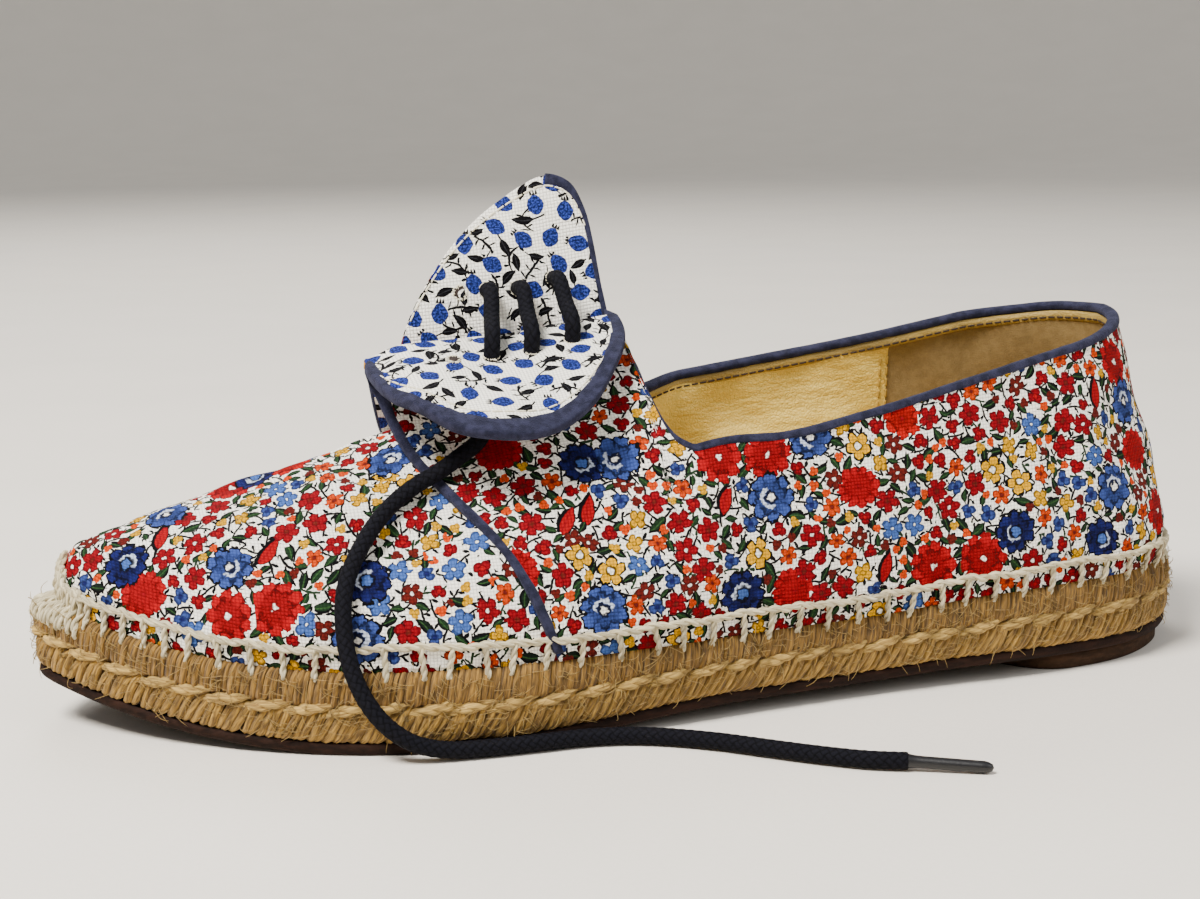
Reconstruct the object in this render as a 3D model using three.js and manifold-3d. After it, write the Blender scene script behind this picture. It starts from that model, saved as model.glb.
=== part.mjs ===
// Lace-up canvas espadrille, the left shoe of a pair, standing empty on its sole.
//
// Millimetres. +X runs from the heel to the toe, +Y to the lateral side and +Z up. The origin is on
// the floor, under the middle of the heel lift. Stations along the shoe are given as s, the distance
// in front of the back of the heel, so x = s - HEEL_CENTRE.

import * as THREE from 'three';
import { mergeVertices } from 'three/addons/utils/BufferGeometryUtils.js';
import Module from 'manifold-3d';

// ---------------------------------------------------------------- driving dimensions

const LENGTH = 266; // back of the heel to the toe tip, along the sole
const HEEL_CENTRE = 30; // s of the origin
const LIFT_FRONT = 54; // s where the heel lift ends
const LIFT_CORNER = 14; // length over which the front of the lift is rounded
const OUTSOLE = 2.5; // thickness of the brown outsole
const GAP = 0.3; // clearance between pieces that touch
const WALL = 2; // canvas and lining together
const SLIVER = 0.02; // joined walls are cleaned of features smaller than this
const VAMP_TRIM = 0.2; // the vamp's foot is cut this much higher than the quarters'
const LAP = 1; // how far the quarters stand proud of the vamp they overlap
const FEATHER = 2; // the upper's foot, in from the edge of the sole
const FEATHER_END = 4; // and that much more at the very heel and toe
const END_ZONE = 16; // over this length
const INSOLE = 2; // thickness of the insole
const INSOLE_EASE = 0.9; // gap between its edge and the wall
const FAN_CENTRE = 40; // s of the point that the sections round the heel turn about
const CORNER = 131; // s where the collar turns up into the throat
const LIFT_INSET = 2.4; // the lift, in from the edge of the sole
const LIFT_NARROWING = 0.5; // how much its sides draw in towards the front
const LIFT_FRONT_HALF = 21; // half width of its front edge
const LIFT_BOW = 2; // how far the middle of that edge bows forwards
const SLIT = 1.2; // between the two quarters along the top of the instep
const VAMP_BACK = 150; // s of the hidden rear edge of the vamp
const FIN_START = 0.68; // fraction up the section where the quarters leave the vamp
const FIN_POWER = 2.2; // how sharply they then rise to the fold
const LACE = 3.6; // diameter of the round lace
const AGLET = 2.4; // diameter of the lace tip
const SIDES = 8; // faces round a lace
const LACE_EASE = 1.2; // between a lace's end and the cloth it goes through
const LACE_TUCK = 0.4; // how far a bar's bends stand in from its holes, in lace diameters
const LACE_STAND = 0.7; // how far a strand's bends stand off the cloth, in lace diameters
const FULL_LEAN = 15; // half width of the last under which its sides stop leaning out
const OUTSOLE_EDGE = { floor: 1.6, middle: 0.6, top: 0.8 }; // the outsole, in from the edge of the sole

// Plan of the sole: half widths on each side of the fold line, the tip turned to the big toe.
const PLAN = [
  { s: 0, lateral: 0, medial: 0 },
  { s: 3, lateral: 13.3, medial: 12 },
  { s: 10, lateral: 23.1, medial: 21 },
  { s: 25, lateral: 32.6, medial: 28 },
  { s: 50, lateral: 37, medial: 29.5 },
  { s: 80, lateral: 38, medial: 28 },
  { s: 110, lateral: 40.2, medial: 29 },
  { s: 140, lateral: 43.9, medial: 34 },
  { s: 165, lateral: 45.8, medial: 40.5 },
  { s: 185, lateral: 45.3, medial: 44 },
  { s: 205, lateral: 40.6, medial: 43 },
  { s: 225, lateral: 31.4, medial: 37 },
  { s: 245, lateral: 17.8, medial: 27.5 },
  { s: 258, lateral: 6, medial: 18 },
  { s: 264.6, lateral: -1.5, medial: 10.2 },
  { s: LENGTH, lateral: -5.6, medial: 5.6 },
];

// Side view of the sole: the underside of the outsole over the floor, and the jute above it.
const PROFILE = [
  { s: 0, ground: 4.3, jute: 14.3 },
  { s: 30, ground: 4, jute: 14.2 },
  { s: 62, ground: 4, jute: 13.3 },
  { s: 95, ground: 3.3, jute: 12 },
  { s: 130, ground: 3, jute: 12 },
  { s: 155, ground: 1.4, jute: 13.4 },
  { s: 175, ground: 0, jute: 14.2 },
  { s: 208, ground: 0, jute: 14.2 },
  { s: 225, ground: 1, jute: 14.2 },
  { s: 240, ground: 3.2, jute: 14.2 },
  { s: 254, ground: 6.6, jute: 14.2 },
  { s: LENGTH, ground: 10.6, jute: 14.2 },
];

// The two jute courses: how far the sole's edge is drawn in at each height, as a fraction of the jute.
const COURSES = {
  jute_bottom_course: [
    { up: 0, inset: 0.9 },
    { up: 0.14, inset: 0.1 },
    { up: 0.32, inset: 0 },
    { up: 0.48, inset: 1.3 },
  ],
  jute_top_course: [
    { up: 0.52, inset: 1.3 },
    { up: 0.66, inset: 0 },
    { up: 0.86, inset: 0.3 },
    { up: 1, inset: 1.2 },
  ],
};

// The last in front of the throat: the ridge over the instep, and the four handles of each section.
// A section leaves the foot of the wall upwards by rise and outwards by lean, and reaches the ridge
// from crown out to the side and sag below it. Rise and sag are fractions of the section's height,
// and crown is a fraction of its half width.
const LAST = [
  { s: 112, ridgeY: 0, ridgeZ: 86, rise: 0.41, lean: 3.7, crown: 0.6, sag: 0.07 },
  { s: 131, ridgeY: 0, ridgeZ: 82, rise: 0.41, lean: 3.7, crown: 0.58, sag: 0.08 },
  { s: 138, ridgeY: 0, ridgeZ: 79, rise: 0.41, lean: 3.6, crown: 0.53, sag: 0.09 },
  { s: 150, ridgeY: 0, ridgeZ: 74, rise: 0.41, lean: 3.3, crown: 0.48, sag: 0.1 },
  { s: 165, ridgeY: 0, ridgeZ: 69, rise: 0.42, lean: 3, crown: 0.47, sag: 0.1 },
  { s: 185, ridgeY: -0.3, ridgeZ: 60.4, rise: 0.42, lean: 2.5, crown: 0.45, sag: 0.08 },
  { s: 200, ridgeY: -1.2, ridgeZ: 55.5, rise: 0.45, lean: 2.2, crown: 0.48, sag: 0.06 },
  { s: 215, ridgeY: -2.3, ridgeZ: 50.8, rise: 0.48, lean: 2, crown: 0.52, sag: 0.04 },
  { s: 230, ridgeY: -3.2, ridgeZ: 46.6, rise: 0.52, lean: 1.6, crown: 0.54, sag: 0.03 },
  { s: 245, ridgeY: -4.2, ridgeZ: 42, rise: 0.55, lean: 1.2, crown: 0.56, sag: 0.02 },
  { s: 254, ridgeY: -4.9, ridgeZ: 38.2, rise: 0.56, lean: 0.8, crown: 0.56, sag: 0.01 },
  { s: LENGTH, ridgeY: -5.6, ridgeZ: 33, rise: 0.57, lean: 0.4, crown: 0.56, sag: 0 },
];
const NOSE_BACK = 254; // s where the ridge starts to close down to the toe tip

// The collar, round the heel and along the sides. Each row is a section through the fan centre at
// an angle from the very back, or square to the shoe at s: the top edge's distance out and height on
// each side, and the same four handles, here all in millimetres.
const HEEL = [
  { angle: 0, outL: 24.5, outM: 24.5, topL: 78.2, topM: 78.2, rise: 14, lean: 2.2, push: 6, drop: 24 },
  { angle: 30, outL: 23.8, outM: 23.8, topL: 76.8, topM: 77.8, rise: 14, lean: 2.4, push: 5.5, drop: 24 },
  { angle: 60, outL: 23.3, outM: 22.9, topL: 74.4, topM: 76.4, rise: 14, lean: 2.5, push: 5.2, drop: 23 },
  { angle: 90, outL: 25, outM: 24, topL: 72.4, topM: 74.9, rise: 14, lean: 2.5, push: 5, drop: 22 },
];
const COLLAR = [
  { s: 40, outL: 25, outM: 24, topL: 72.4, topM: 74.9, rise: 14, lean: 2.5, push: 5, drop: 22 },
  { s: 66, outL: 28.5, outM: 27.5, topL: 67, topM: 69.8, rise: 13, lean: 2.5, push: 4.5, drop: 18 },
  { s: 92, outL: 31, outM: 29, topL: 61.6, topM: 66, rise: 13, lean: 2.5, push: 4, drop: 14 },
  { s: 112, outL: 31.8, outM: 28, topL: 58.4, topM: 63.6, rise: 13, lean: 3, push: 3.5, drop: 12 },
  { s: CORNER, outL: 31, outM: 24.5, topL: 57.8, topM: 61.8, rise: 13, lean: 3, push: 3, drop: 12 },
];

// The throat: how far up its section the quarter is cut, on each side, as its edge climbs to the fold.
const THROAT = [
  { s: CORNER, cutL: 0.485, cutM: 0.525 },
  { s: 134, cutL: 0.52, cutM: 0.565 },
  { s: 136, cutL: 0.58, cutM: 0.63 },
  { s: 137.3, cutL: 0.68, cutM: 0.72 },
  { s: 138, cutL: 0.8, cutM: 0.84 },
  { s: 138.3, cutL: 0.92, cutM: 0.93 },
  { s: 138.6, cutL: 1, cutM: 1 },
];

// The quarter's front edge, leaning forward as it climbs from the sole to the fold.
const FRONT_EDGE = [
  { up: 0, s: 165 },
  { up: 0.3, s: 172.6 },
  { up: 0.6, s: 183.4 },
  { up: 0.8, s: 189 },
  { up: 1, s: 193.6 },
];

// The fold along which both lapels turn back from the quarters.
const FOLD = [
  { s: 131, z: 81.4 },
  { s: 138, z: 81 },
  { s: 150, z: 79.6 },
  { s: 162, z: 77.9 },
  { s: 175, z: 77.1 },
  { s: 187, z: 76.4 },
  { s: 194, z: 73.8 },
];
const FOLD_RADIUS = 2.2; // the quarters stop this far under the fold
const VAMP_RISE = [0, 0.1, 0.22, 0.34, 0.46, 0.58, 0.7, 0.82, 0.92]; // fractions up each section
const VAMP_STEPS = 20; // rows along the vamp
const VAMP_CROWDING = 0.8; // below 1 spreads those rows from the toe tip
const QUARTER_RISE = 10; // steps up each section of the quarters

// Lapel outlines, from the rear end of the fold to its front end: station, and reach from the fold.
const LAPELS = {
  lateral: {
    rim: [
      { s: 138.6, reach: 0 },
      { s: 139.6, reach: 9 },
      { s: 142.6, reach: 17 },
      { s: 146.6, reach: 24 },
      { s: 152.6, reach: 32 },
      { s: 161.5, reach: 37.8 },
      { s: 170.4, reach: 39.4 },
      { s: 178.6, reach: 37.6 },
      { s: 185.6, reach: 31.6 },
      { s: 191.6, reach: 21.6 },
      { s: 195, reach: 11.5 },
      { s: 195.4, reach: 0 },
    ],
    base: { y: 1.7, z: 0.6 },
    turn: { start: -12, end: -34 }, // degrees from level, at the fold and at the rim
  },
  medial: {
    rim: [
      { s: 139.6, reach: 0 },
      { s: 140.6, reach: 7.4 },
      { s: 141.4, reach: 16.7 },
      { s: 142.6, reach: 25.1 },
      { s: 145.2, reach: 31.2 },
      { s: 150.4, reach: 33.9 },
      { s: 157, reach: 32.5 },
      { s: 165, reach: 28.2 },
      { s: 173, reach: 21.4 },
      { s: 180, reach: 12.6 },
      { s: 184.4, reach: 5.1 },
      { s: 186.4, reach: 0 },
    ],
    base: { y: -1.7, z: 0.1 },
    turn: { start: 78, end: 62 },
  },
};
const LAPEL_THICKNESS = 2;
const LAPEL_REACH = 40; // from the fold to the rim, over which a lapel turns from start to end
const LAPEL_STEPS = 6; // from the fold to the rim

// Lace holes, from the front row to the rear one: station on each lapel and distance from the fold,
// and the quarter's own hole below it as a fraction up the section.
const LACE_ROWS = [
  { lateralS: 177.9, medialS: 172.4, reachL: 11, reachM: 10.6, hole: 0.76 },
  { lateralS: 169.9, medialS: 166.4, reachL: 11.6, reachM: 10.6, hole: 0.76 },
  { lateralS: 161, medialS: 159.4, reachL: 11.4, reachM: 10.2, hole: 0.76 },
  { lateralS: 151.6, medialS: 151.2, reachL: 10.4, reachM: 10.8, hole: 0.76 },
];

// The free end of the lace, from under the lateral lapel's second hole, over the vamp and the edge of
// the sole, down to the floor and back along the shoe. Points on its centre line.
const LACE_END = [
  { s: 170, y: 12.6, z: 71.4 },
  { s: 170.5, y: 13.9, z: 68 },
  { s: 171.4, y: 16.2, z: 64.6 },
  { s: 173, y: 18.8, z: 61.4 },
  { s: 175.6, y: 20.9, z: 58.8 },
  { s: 179.4, y: 22.2, z: 56.6 },
  { s: 184.4, y: 23.4, z: 53.8 },
  { s: 189.4, y: 23.9, z: 51.4 },
  { s: 194, y: 25.2, z: 48.6 },
  { s: 198, y: 27.6, z: 45.6 },
  { s: 201.6, y: 30.4, z: 42 },
  { s: 204.6, y: 33, z: 38 },
  { s: 206.6, y: 35.4, z: 34.2 },
  { s: 207.6, y: 37.6, z: 30 },
  { s: 207.8, y: 39.8, z: 24.6 },
  { s: 207.4, y: 41.4, z: 20.6 },
  { s: 206.4, y: 43.2, z: 16.6 },
  { s: 204.4, y: 45, z: 12.2 },
  { s: 201, y: 46.6, z: 7.8 },
  { s: 196, y: 47.6, z: 4.2 },
  { s: 189.6, y: 48.2, z: 2.4 },
  { s: 181, y: 48.6, z: 2 },
  { s: 171, y: 48.8, z: 2 },
  { s: 161, y: 48.8, z: 2 },
  { s: 152, y: 50.6, z: 2 },
  { s: 144, y: 54.4, z: 2 },
  { s: 136, y: 60, z: 2 },
  { s: 128.6, y: 66.6, z: 2 },
  { s: 120.6, y: 73.6, z: 2 },
  { s: 112.6, y: 79.6, z: 2 },
  { s: 105.6, y: 83, z: 2 },
];
const AGLET_LENGTH = 16;
const AGLET_GAP = 0.36; // from the end of the lace to the aglet
const AGLET_REST = 0.1; // the aglet's tip over the floor
const LACE_STEPS = { bar: 10, strand: 8, end: 44, aglet: 1 }; // segments along each piece of lace

// ---------------------------------------------------------------- numbers and curves

// A value read off a table at x, smooth and without overshoot between its rows.
function read(table, key, x, column) {
  const last = table.length - 1;
  const slopeOf = (i) => (table[i + 1][column] - table[i][column]) / (table[i + 1][key] - table[i][key]);
  const tangent = (i) => {
    if (i === 0) return slopeOf(0);
    if (i === last) return slopeOf(last - 1);
    const before = slopeOf(i - 1);
    const after = slopeOf(i);
    if (before * after <= 0) return 0;
    const left = table[i][key] - table[i - 1][key];
    const right = table[i + 1][key] - table[i][key];
    const near = 2 * right + left;
    const far = right + 2 * left;
    return (near + far) / (near / before + far / after);
  };
  let i = 0;
  while (i < last - 1 && x > table[i + 1][key]) i += 1;
  const step = table[i + 1][key] - table[i][key];
  const t = THREE.MathUtils.clamp((x - table[i][key]) / step, 0, 1);
  const t2 = t * t;
  const t3 = t2 * t;
  return (
    (2 * t3 - 3 * t2 + 1) * table[i][column] +
    (t3 - 2 * t2 + t) * step * tangent(i) +
    (3 * t2 - 2 * t3) * table[i + 1][column] +
    (t3 - t2) * step * tangent(i + 1)
  );
}

const ground = (s) => read(PROFILE, 's', s, 'ground');
const jute = (s) => read(PROFILE, 's', s, 'jute');
const juteTop = (s) => ground(s) + OUTSOLE + jute(s);
const foldZ = (s) => read(FOLD, 's', s, 'z');
const point = (s, y, z) => new THREE.Vector3(s - HEEL_CENTRE, y, z);
const range = (count) => Array.from({ length: count + 1 }, (_, i) => i / count);

// The plan as one closed curve: up the lateral side, round the tip and back along the medial side.
const PLAN_STEPS = 3;
const planCorners = [
  ...PLAN.map((row) => new THREE.Vector3(row.s, row.lateral, 0)),
  ...PLAN.slice(1, -1).reverse().map((row) => new THREE.Vector3(row.s, -row.medial, 0)),
];
const planCurve = new THREE.CatmullRomCurve3(planCorners, true, 'centripetal');
const rim = range(planCorners.length * PLAN_STEPS).slice(0, -1).map((t) => planCurve.getPoint(t));

// The rim drawn inwards by a distance that may change with s.
function inset(distance) {
  const count = rim.length;
  return rim.map((p, i) => {
    const along = new THREE.Vector3().subVectors(rim[(i + 1) % count], rim[(i + count - 1) % count]);
    const inward = new THREE.Vector3(along.y, -along.x, 0).normalize();
    return p.clone().addScaledVector(inward, distance(p.x));
  });
}

const endNarrowing = (s) => {
  const toEnd = Math.min(s, LENGTH - s) / END_ZONE;
  return FEATHER_END * Math.max(0, 1 - toEnd) ** 2;
};
const feather = inset((s) => FEATHER + endNarrowing(s));

// Distance from (s, y) along a direction to the feather line.
function reachToFeather(s, y, ds, dy) {
  let best = 0;
  feather.forEach((a, i) => {
    const b = feather[(i + 1) % feather.length];
    const cross = ds * (b.y - a.y) - dy * (b.x - a.x);
    if (Math.abs(cross) < 1e-12) return;
    const t = ((a.x - s) * (b.y - a.y) - (a.y - y) * (b.x - a.x)) / cross;
    const u = ((a.x - s) * dy - (a.y - y) * ds) / cross;
    if (u >= 0 && u <= 1 && t > best) best = t;
  });
  return best;
}

// A section curve in its own plane: out from the middle of the shoe, and up.
function bezier(foot, out, up, top, t) {
  const a = (1 - t) ** 3;
  const b = 3 * (1 - t) ** 2 * t;
  const c = 3 * (1 - t) * t * t;
  const d = t ** 3;
  const blend = (k) => a * foot[k] + b * out[k] + c * up[k] + d * top[k];
  return { out: blend(0), z: blend(1) };
}

// ---------------------------------------------------------------- surfaces of the upper

const TIP_EASE = 0.05; // the last stops this far short of the feather line's own tip
const TOE_TIP = Math.max(...feather.map((p) => p.x)) - TIP_EASE;
const NO_WIDTH = 0.01; // half width of the section at the tip

// The last's surface in front of the throat. side is 1 lateral, -1 medial; t runs foot to ridge.
function lastPoint(s, side, t) {
  const y = read(LAST, 's', s, 'ridgeY');
  const full = Math.min(s, NOSE_BACK);
  const closing = Math.max(0, s - NOSE_BACK) / (TOE_TIP - NOSE_BACK);
  const height = (read(LAST, 's', full, 'ridgeZ') - juteTop(full) - GAP) * Math.sqrt(1 - closing ** 2);
  const width = Math.max(NO_WIDTH, reachToFeather(s, y, 0, side));
  const lean = read(LAST, 's', s, 'lean') * Math.min(1, width / FULL_LEAN);
  const foot = [width, juteTop(s) + GAP];
  const top = [0, foot[1] + height];
  const out = [width + lean, foot[1] + read(LAST, 's', s, 'rise') * height];
  const up = [read(LAST, 's', s, 'crown') * width, top[1] - read(LAST, 's', s, 'sag') * height];
  const curve = bezier(foot, out, up, top, t);
  return point(s, y + side * curve.out, curve.z);
}

// The quarters follow the last and then leave it, rising to the fold over the instep.
function quarterPoint(s, side, t) {
  const p = lastPoint(s, side, t);
  const fin = Math.max(0, (t - FIN_START) / (1 - FIN_START)) ** FIN_POWER;
  p.z += fin * (foldZ(s) - FOLD_RADIUS - read(LAST, 's', s, 'ridgeZ'));
  return p;
}

// A section below the collar: from a point on the middle line of the shoe, out along a direction.
function collarSection(s, ds, dy, row, side) {
  const reach = reachToFeather(s, 0, ds, dy);
  const out = side > 0 ? row('outL') : row('outM');
  const top = side > 0 ? row('topL') : row('topM');
  const foot = juteTop(s + ds * reach) + GAP;
  return (t) => {
    const start = [reach + row('lean'), foot + row('rise')];
    const end = [out + row('push'), top - row('drop')];
    const curve = bezier([reach, foot], start, end, [out, top], t);
    return point(s + ds * curve.out, dy * curve.out, curve.z);
  };
}

// The quarter's sections in order from the front edge back to the heel, each a curve of t.
const THROAT_START = THROAT.at(-1).s;
const BLEND_START = 112; // the collar's sections turn into the last's between here and the corner
const HEEL_ANGLES = [15, 30, 45, 60, 75, 90];
const SIDE_STATIONS = [52, 65, 78, 91, 103, 112, 119, 125];
const TENT_STEPS = 8;
const THROAT_STEPS = [0, 0.3, 0.6, 0.76, 0.88, 0.95];

function quarterSections(side) {
  const cut = side > 0 ? 'cutL' : 'cutM';
  const tent = range(TENT_STEPS).map((f) => (t) => {
    const s = THREE.MathUtils.lerp(THROAT_START, read(FRONT_EDGE, 'up', t, 's'), f);
    return quarterPoint(s, side, t);
  });
  const throat = THROAT_STEPS.map((f) => {
    const s = THREE.MathUtils.lerp(CORNER, THROAT_START, f);
    return (t) => quarterPoint(s, side, t * read(THROAT, 's', s, cut));
  });
  const sides = SIDE_STATIONS.map((s) => {
    const collar = collarSection(s, 0, side, (column) => read(COLLAR, 's', s, column), side);
    const blend = THREE.MathUtils.smoothstep(s, BLEND_START, CORNER);
    return (t) => collar(t).lerp(quarterPoint(s, side, t * THROAT[0][cut]), blend);
  });
  const heel = HEEL_ANGLES.map((angle) => {
    const turn = THREE.MathUtils.degToRad(angle);
    const row = (column) => read(HEEL, 'angle', angle, column);
    return collarSection(FAN_CENTRE, -Math.cos(turn), side * Math.sin(turn), row, side);
  });
  return [...tent.reverse(), ...throat.reverse(), ...sides.reverse(), ...heel.reverse()];
}

// ---------------------------------------------------------------- closed bodies

// Triangles, given as corners, into one closed geometry that faces outwards.
function body(triangles) {
  const kept = triangles.filter(([a, b, c]) => {
    const area = new THREE.Vector3().subVectors(b, a).cross(new THREE.Vector3().subVectors(c, a));
    return area.length() > 1e-7;
  });
  const volume = kept.reduce((sum, [a, b, c]) => sum + a.dot(new THREE.Vector3().crossVectors(b, c)), 0);
  const corners = kept.flatMap(([a, b, c]) => (volume > 0 ? [a, b, c] : [a, c, b]));
  const geometry = new THREE.BufferGeometry().setFromPoints(corners);
  const merged = mergeVertices(geometry, 1e-4);
  merged.computeVertexNormals();
  return merged;
}

const quad = (a, b, c, d) => [[a, b, c], [a, c, d]];

// A closed sheet between two grids of the same size, with a wall round its edge.
function sheet(front, back) {
  const rows = front.length - 1;
  const columns = front[0].length - 1;
  const triangles = [];
  for (let i = 0; i < rows; i += 1) {
    for (let j = 0; j < columns; j += 1) {
      triangles.push(...quad(front[i][j], front[i][j + 1], front[i + 1][j + 1], front[i + 1][j]));
      triangles.push(...quad(back[i][j], back[i + 1][j], back[i + 1][j + 1], back[i][j + 1]));
    }
  }
  const edge = [];
  for (let j = 0; j < columns; j += 1) edge.push([0, j]);
  for (let i = 0; i < rows; i += 1) edge.push([i, columns]);
  for (let j = columns; j > 0; j -= 1) edge.push([rows, j]);
  for (let i = rows; i > 0; i -= 1) edge.push([i, 0]);
  edge.forEach(([i, j], k) => {
    const [m, n] = edge[(k + 1) % edge.length];
    triangles.push(...quad(front[m][n], front[i][j], back[i][j], back[m][n]));
  });
  return body(triangles);
}

// Unit normals of a grid of points; flatFoot keeps the first point of each row level.
function normals(grid, flatFoot) {
  const at = (i, j) => grid[THREE.MathUtils.clamp(i, 0, grid.length - 1)][j];
  const last = grid[0].length - 1;
  return grid.map((row, i) => row.map((_, j) => {
    const along = new THREE.Vector3().subVectors(at(i + 1, j), at(i - 1, j));
    const up = new THREE.Vector3().subVectors(row[Math.min(j + 1, last)], row[Math.max(j - 1, 0)]);
    const normal = along.cross(up);
    if (flatFoot && j === 0) normal.z = 0;
    return normal.normalize();
  }));
}

const offset = (grid, directions, distance) =>
  grid.map((row, i) => row.map((p, j) => p.clone().addScaledVector(directions[i][j], distance)));

// A flat-sided body from closed loops stacked on each other, each a list of points that runs up the
// lateral side and back down the medial side, so that its caps are ladders between the two.
function stack(loops) {
  const count = loops[0].length;
  const half = count / 2;
  const triangles = [];
  for (let k = 0; k < loops.length - 1; k += 1) {
    for (let i = 0; i < count; i += 1) {
      const j = (i + 1) % count;
      triangles.push(...quad(loops[k][i], loops[k][j], loops[k + 1][j], loops[k + 1][i]));
    }
  }
  const cap = (loop, flip) => {
    for (let i = 0; i < half; i += 1) {
      const a = loop[i];
      const b = loop[i + 1];
      const c = loop[(count - i - 1) % count];
      const d = loop[(count - i) % count];
      triangles.push(...(flip ? quad(a, d, c, b) : quad(a, b, c, d)));
    }
  };
  cap(loops[0], true);
  cap(loops.at(-1), false);
  return body(triangles);
}

const wasm = await Module();
wasm.setup();

function toManifold(geometry) {
  return new wasm.Manifold(new wasm.Mesh({
    numProp: 3,
    vertProperties: new Float32Array(geometry.getAttribute('position').array),
    triVerts: new Uint32Array(geometry.getIndex().array),
  }));
}

function join(a, b) {
  const result = toManifold(a).add(toManifold(b)).simplify(SLIVER).getMesh();
  const geometry = new THREE.BufferGeometry();
  geometry.setAttribute('position', new THREE.BufferAttribute(result.vertProperties, 3));
  geometry.setIndex(new THREE.BufferAttribute(result.triVerts, 1));
  geometry.computeVertexNormals();
  return geometry;
}

// ---------------------------------------------------------------- sole

const level = (line, height) => line.map((p) => point(p.x, p.y, height(p.x)));

function juteCourse(name) {
  return stack(COURSES[name].map((edge) => level(
    inset((s) => edge.inset),
    (s) => ground(s) + OUTSOLE + THREE.MathUtils.lerp(GAP, jute(s), edge.up),
  )));
}

function outsole() {
  return stack([
    level(inset(() => OUTSOLE_EDGE.floor), ground),
    level(inset(() => OUTSOLE_EDGE.middle), (s) => ground(s) + OUTSOLE / 2),
    level(inset(() => OUTSOLE_EDGE.top), (s) => ground(s) + OUTSOLE),
  ]);
}

// The lift under the heel: its sides draw in towards a slightly bowed front edge.
function heelLift() {
  const line = inset(() => LIFT_INSET);
  const along = line.findIndex((p) => p.x > LIFT_FRONT) - 1;
  const drawIn = (p) => {
    const past = Math.max(0, p.x - (LIFT_FRONT - LIFT_CORNER)) / LIFT_CORNER;
    return new THREE.Vector3(p.x, p.y * Math.sqrt(1 - LIFT_NARROWING * past ** 2), 0);
  };
  const lateral = line.slice(0, along + 1).map(drawIn);
  const medial = range(along).slice(1).map((_, i) => drawIn(line[line.length - 1 - i])).reverse();
  const front = [1, 0, -1].map((f) => (
    new THREE.Vector3(LIFT_FRONT + LIFT_BOW * (1 - f * f), f * LIFT_FRONT_HALF, 0)
  ));
  const loop = [...lateral, ...front, ...medial];
  return stack([level(loop, () => 0), level(loop, (s) => ground(s) - GAP)]);
}

function insole() {
  const line = inset((s) => FEATHER + WALL + INSOLE_EASE + endNarrowing(s));
  return stack([
    level(line, (s) => juteTop(s) + GAP),
    level(line, (s) => juteTop(s) + GAP + INSOLE),
  ]);
}

// ---------------------------------------------------------------- upper

// The vamp from the hidden rear edge to the toe tip, each row running over the instep.
function vamp() {
  const across = [...VAMP_RISE.map((t) => [1, t]), [1, 1], ...VAMP_RISE.map((t) => [-1, t]).reverse()];
  const stations = range(VAMP_STEPS).map((f) => (
    THREE.MathUtils.lerp(VAMP_BACK, TOE_TIP, Math.sin(f * Math.PI / 2) ** VAMP_CROWDING)
  ));
  const outer = stations.map((s) => across.map(([side, t]) => lastPoint(s, side, t)));
  outer.forEach((row) => {
    row[0].z += VAMP_TRIM;
    row.at(-1).z += VAMP_TRIM;
  });
  const directions = normals(outer, false);
  directions.forEach((row) => {
    row[0].z = 0;
    row.at(-1).z = 0;
    row.forEach((n) => n.normalize());
  });
  directions[VAMP_STEPS] = outer[0].map(() => new THREE.Vector3(-1, 0, 0));
  return sheet(outer, offset(outer, directions, WALL));
}

// Both quarters in one wall, from the lateral front edge round the heel to the medial one.
function quarters() {
  const lateral = quarterSections(1);
  const medial = quarterSections(-1);
  const back = collarSection(FAN_CENTRE, -1, 0, (column) => HEEL[0][column], 1);
  const sections = [...lateral, back, ...medial.reverse()];
  const middle = sections.map((section) => range(QUARTER_RISE).map(section));
  const directions = normals(middle, true);
  const clear = (grid, distance) => grid.forEach((row, i) => row.forEach((p) => {
    const side = i < lateral.length ? 1 : -1;
    if (i !== lateral.length && side * p.y < distance) p.y = side * distance;
  }));
  const outer = offset(middle, directions, LAP);
  const inner = offset(middle, directions, LAP - WALL);
  clear(outer, SLIT / 2 + WALL);
  clear(inner, SLIT / 2);
  inner.forEach((row, i) => {
    row[QUARTER_RISE].z = outer[i][QUARTER_RISE].z;
  });
  return sheet(outer, inner);
}

// ---------------------------------------------------------------- lapels

// A point on the middle of a lapel and the direction its lining faces there.
function lapelPoint(lapel, side, s, reach) {
  const start = THREE.MathUtils.degToRad(lapel.turn.start);
  const rate = THREE.MathUtils.degToRad(lapel.turn.end - lapel.turn.start) / LAPEL_REACH;
  const angle = start + rate * reach;
  const out = (Math.sin(angle) - Math.sin(start)) / rate;
  const up = (Math.cos(start) - Math.cos(angle)) / rate;
  return {
    at: point(s, lapel.base.y + side * out, foldZ(s) + lapel.base.z + up),
    facing: new THREE.Vector3(0, -side * Math.sin(angle), Math.cos(angle)),
  };
}

function lapelSheet(lapel, side) {
  const rear = lapel.rim[0].s;
  const front = lapel.rim.at(-1).s;
  const rows = lapel.rim.slice(1, -1).map((edge, i, inner) => {
    const base = THREE.MathUtils.lerp(rear, front, (i + 1) / (inner.length + 1));
    return range(LAPEL_STEPS).map((f) => (
      lapelPoint(lapel, side, THREE.MathUtils.lerp(base, edge.s, f), f * edge.reach)
    ));
  });
  const face = (distance) => rows.map((row) => (
    row.map(({ at, facing }) => at.clone().addScaledVector(facing, distance))
  ));
  return sheet(face(LAPEL_THICKNESS / 2), face(-LAPEL_THICKNESS / 2));
}

// ---------------------------------------------------------------- laces

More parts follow.
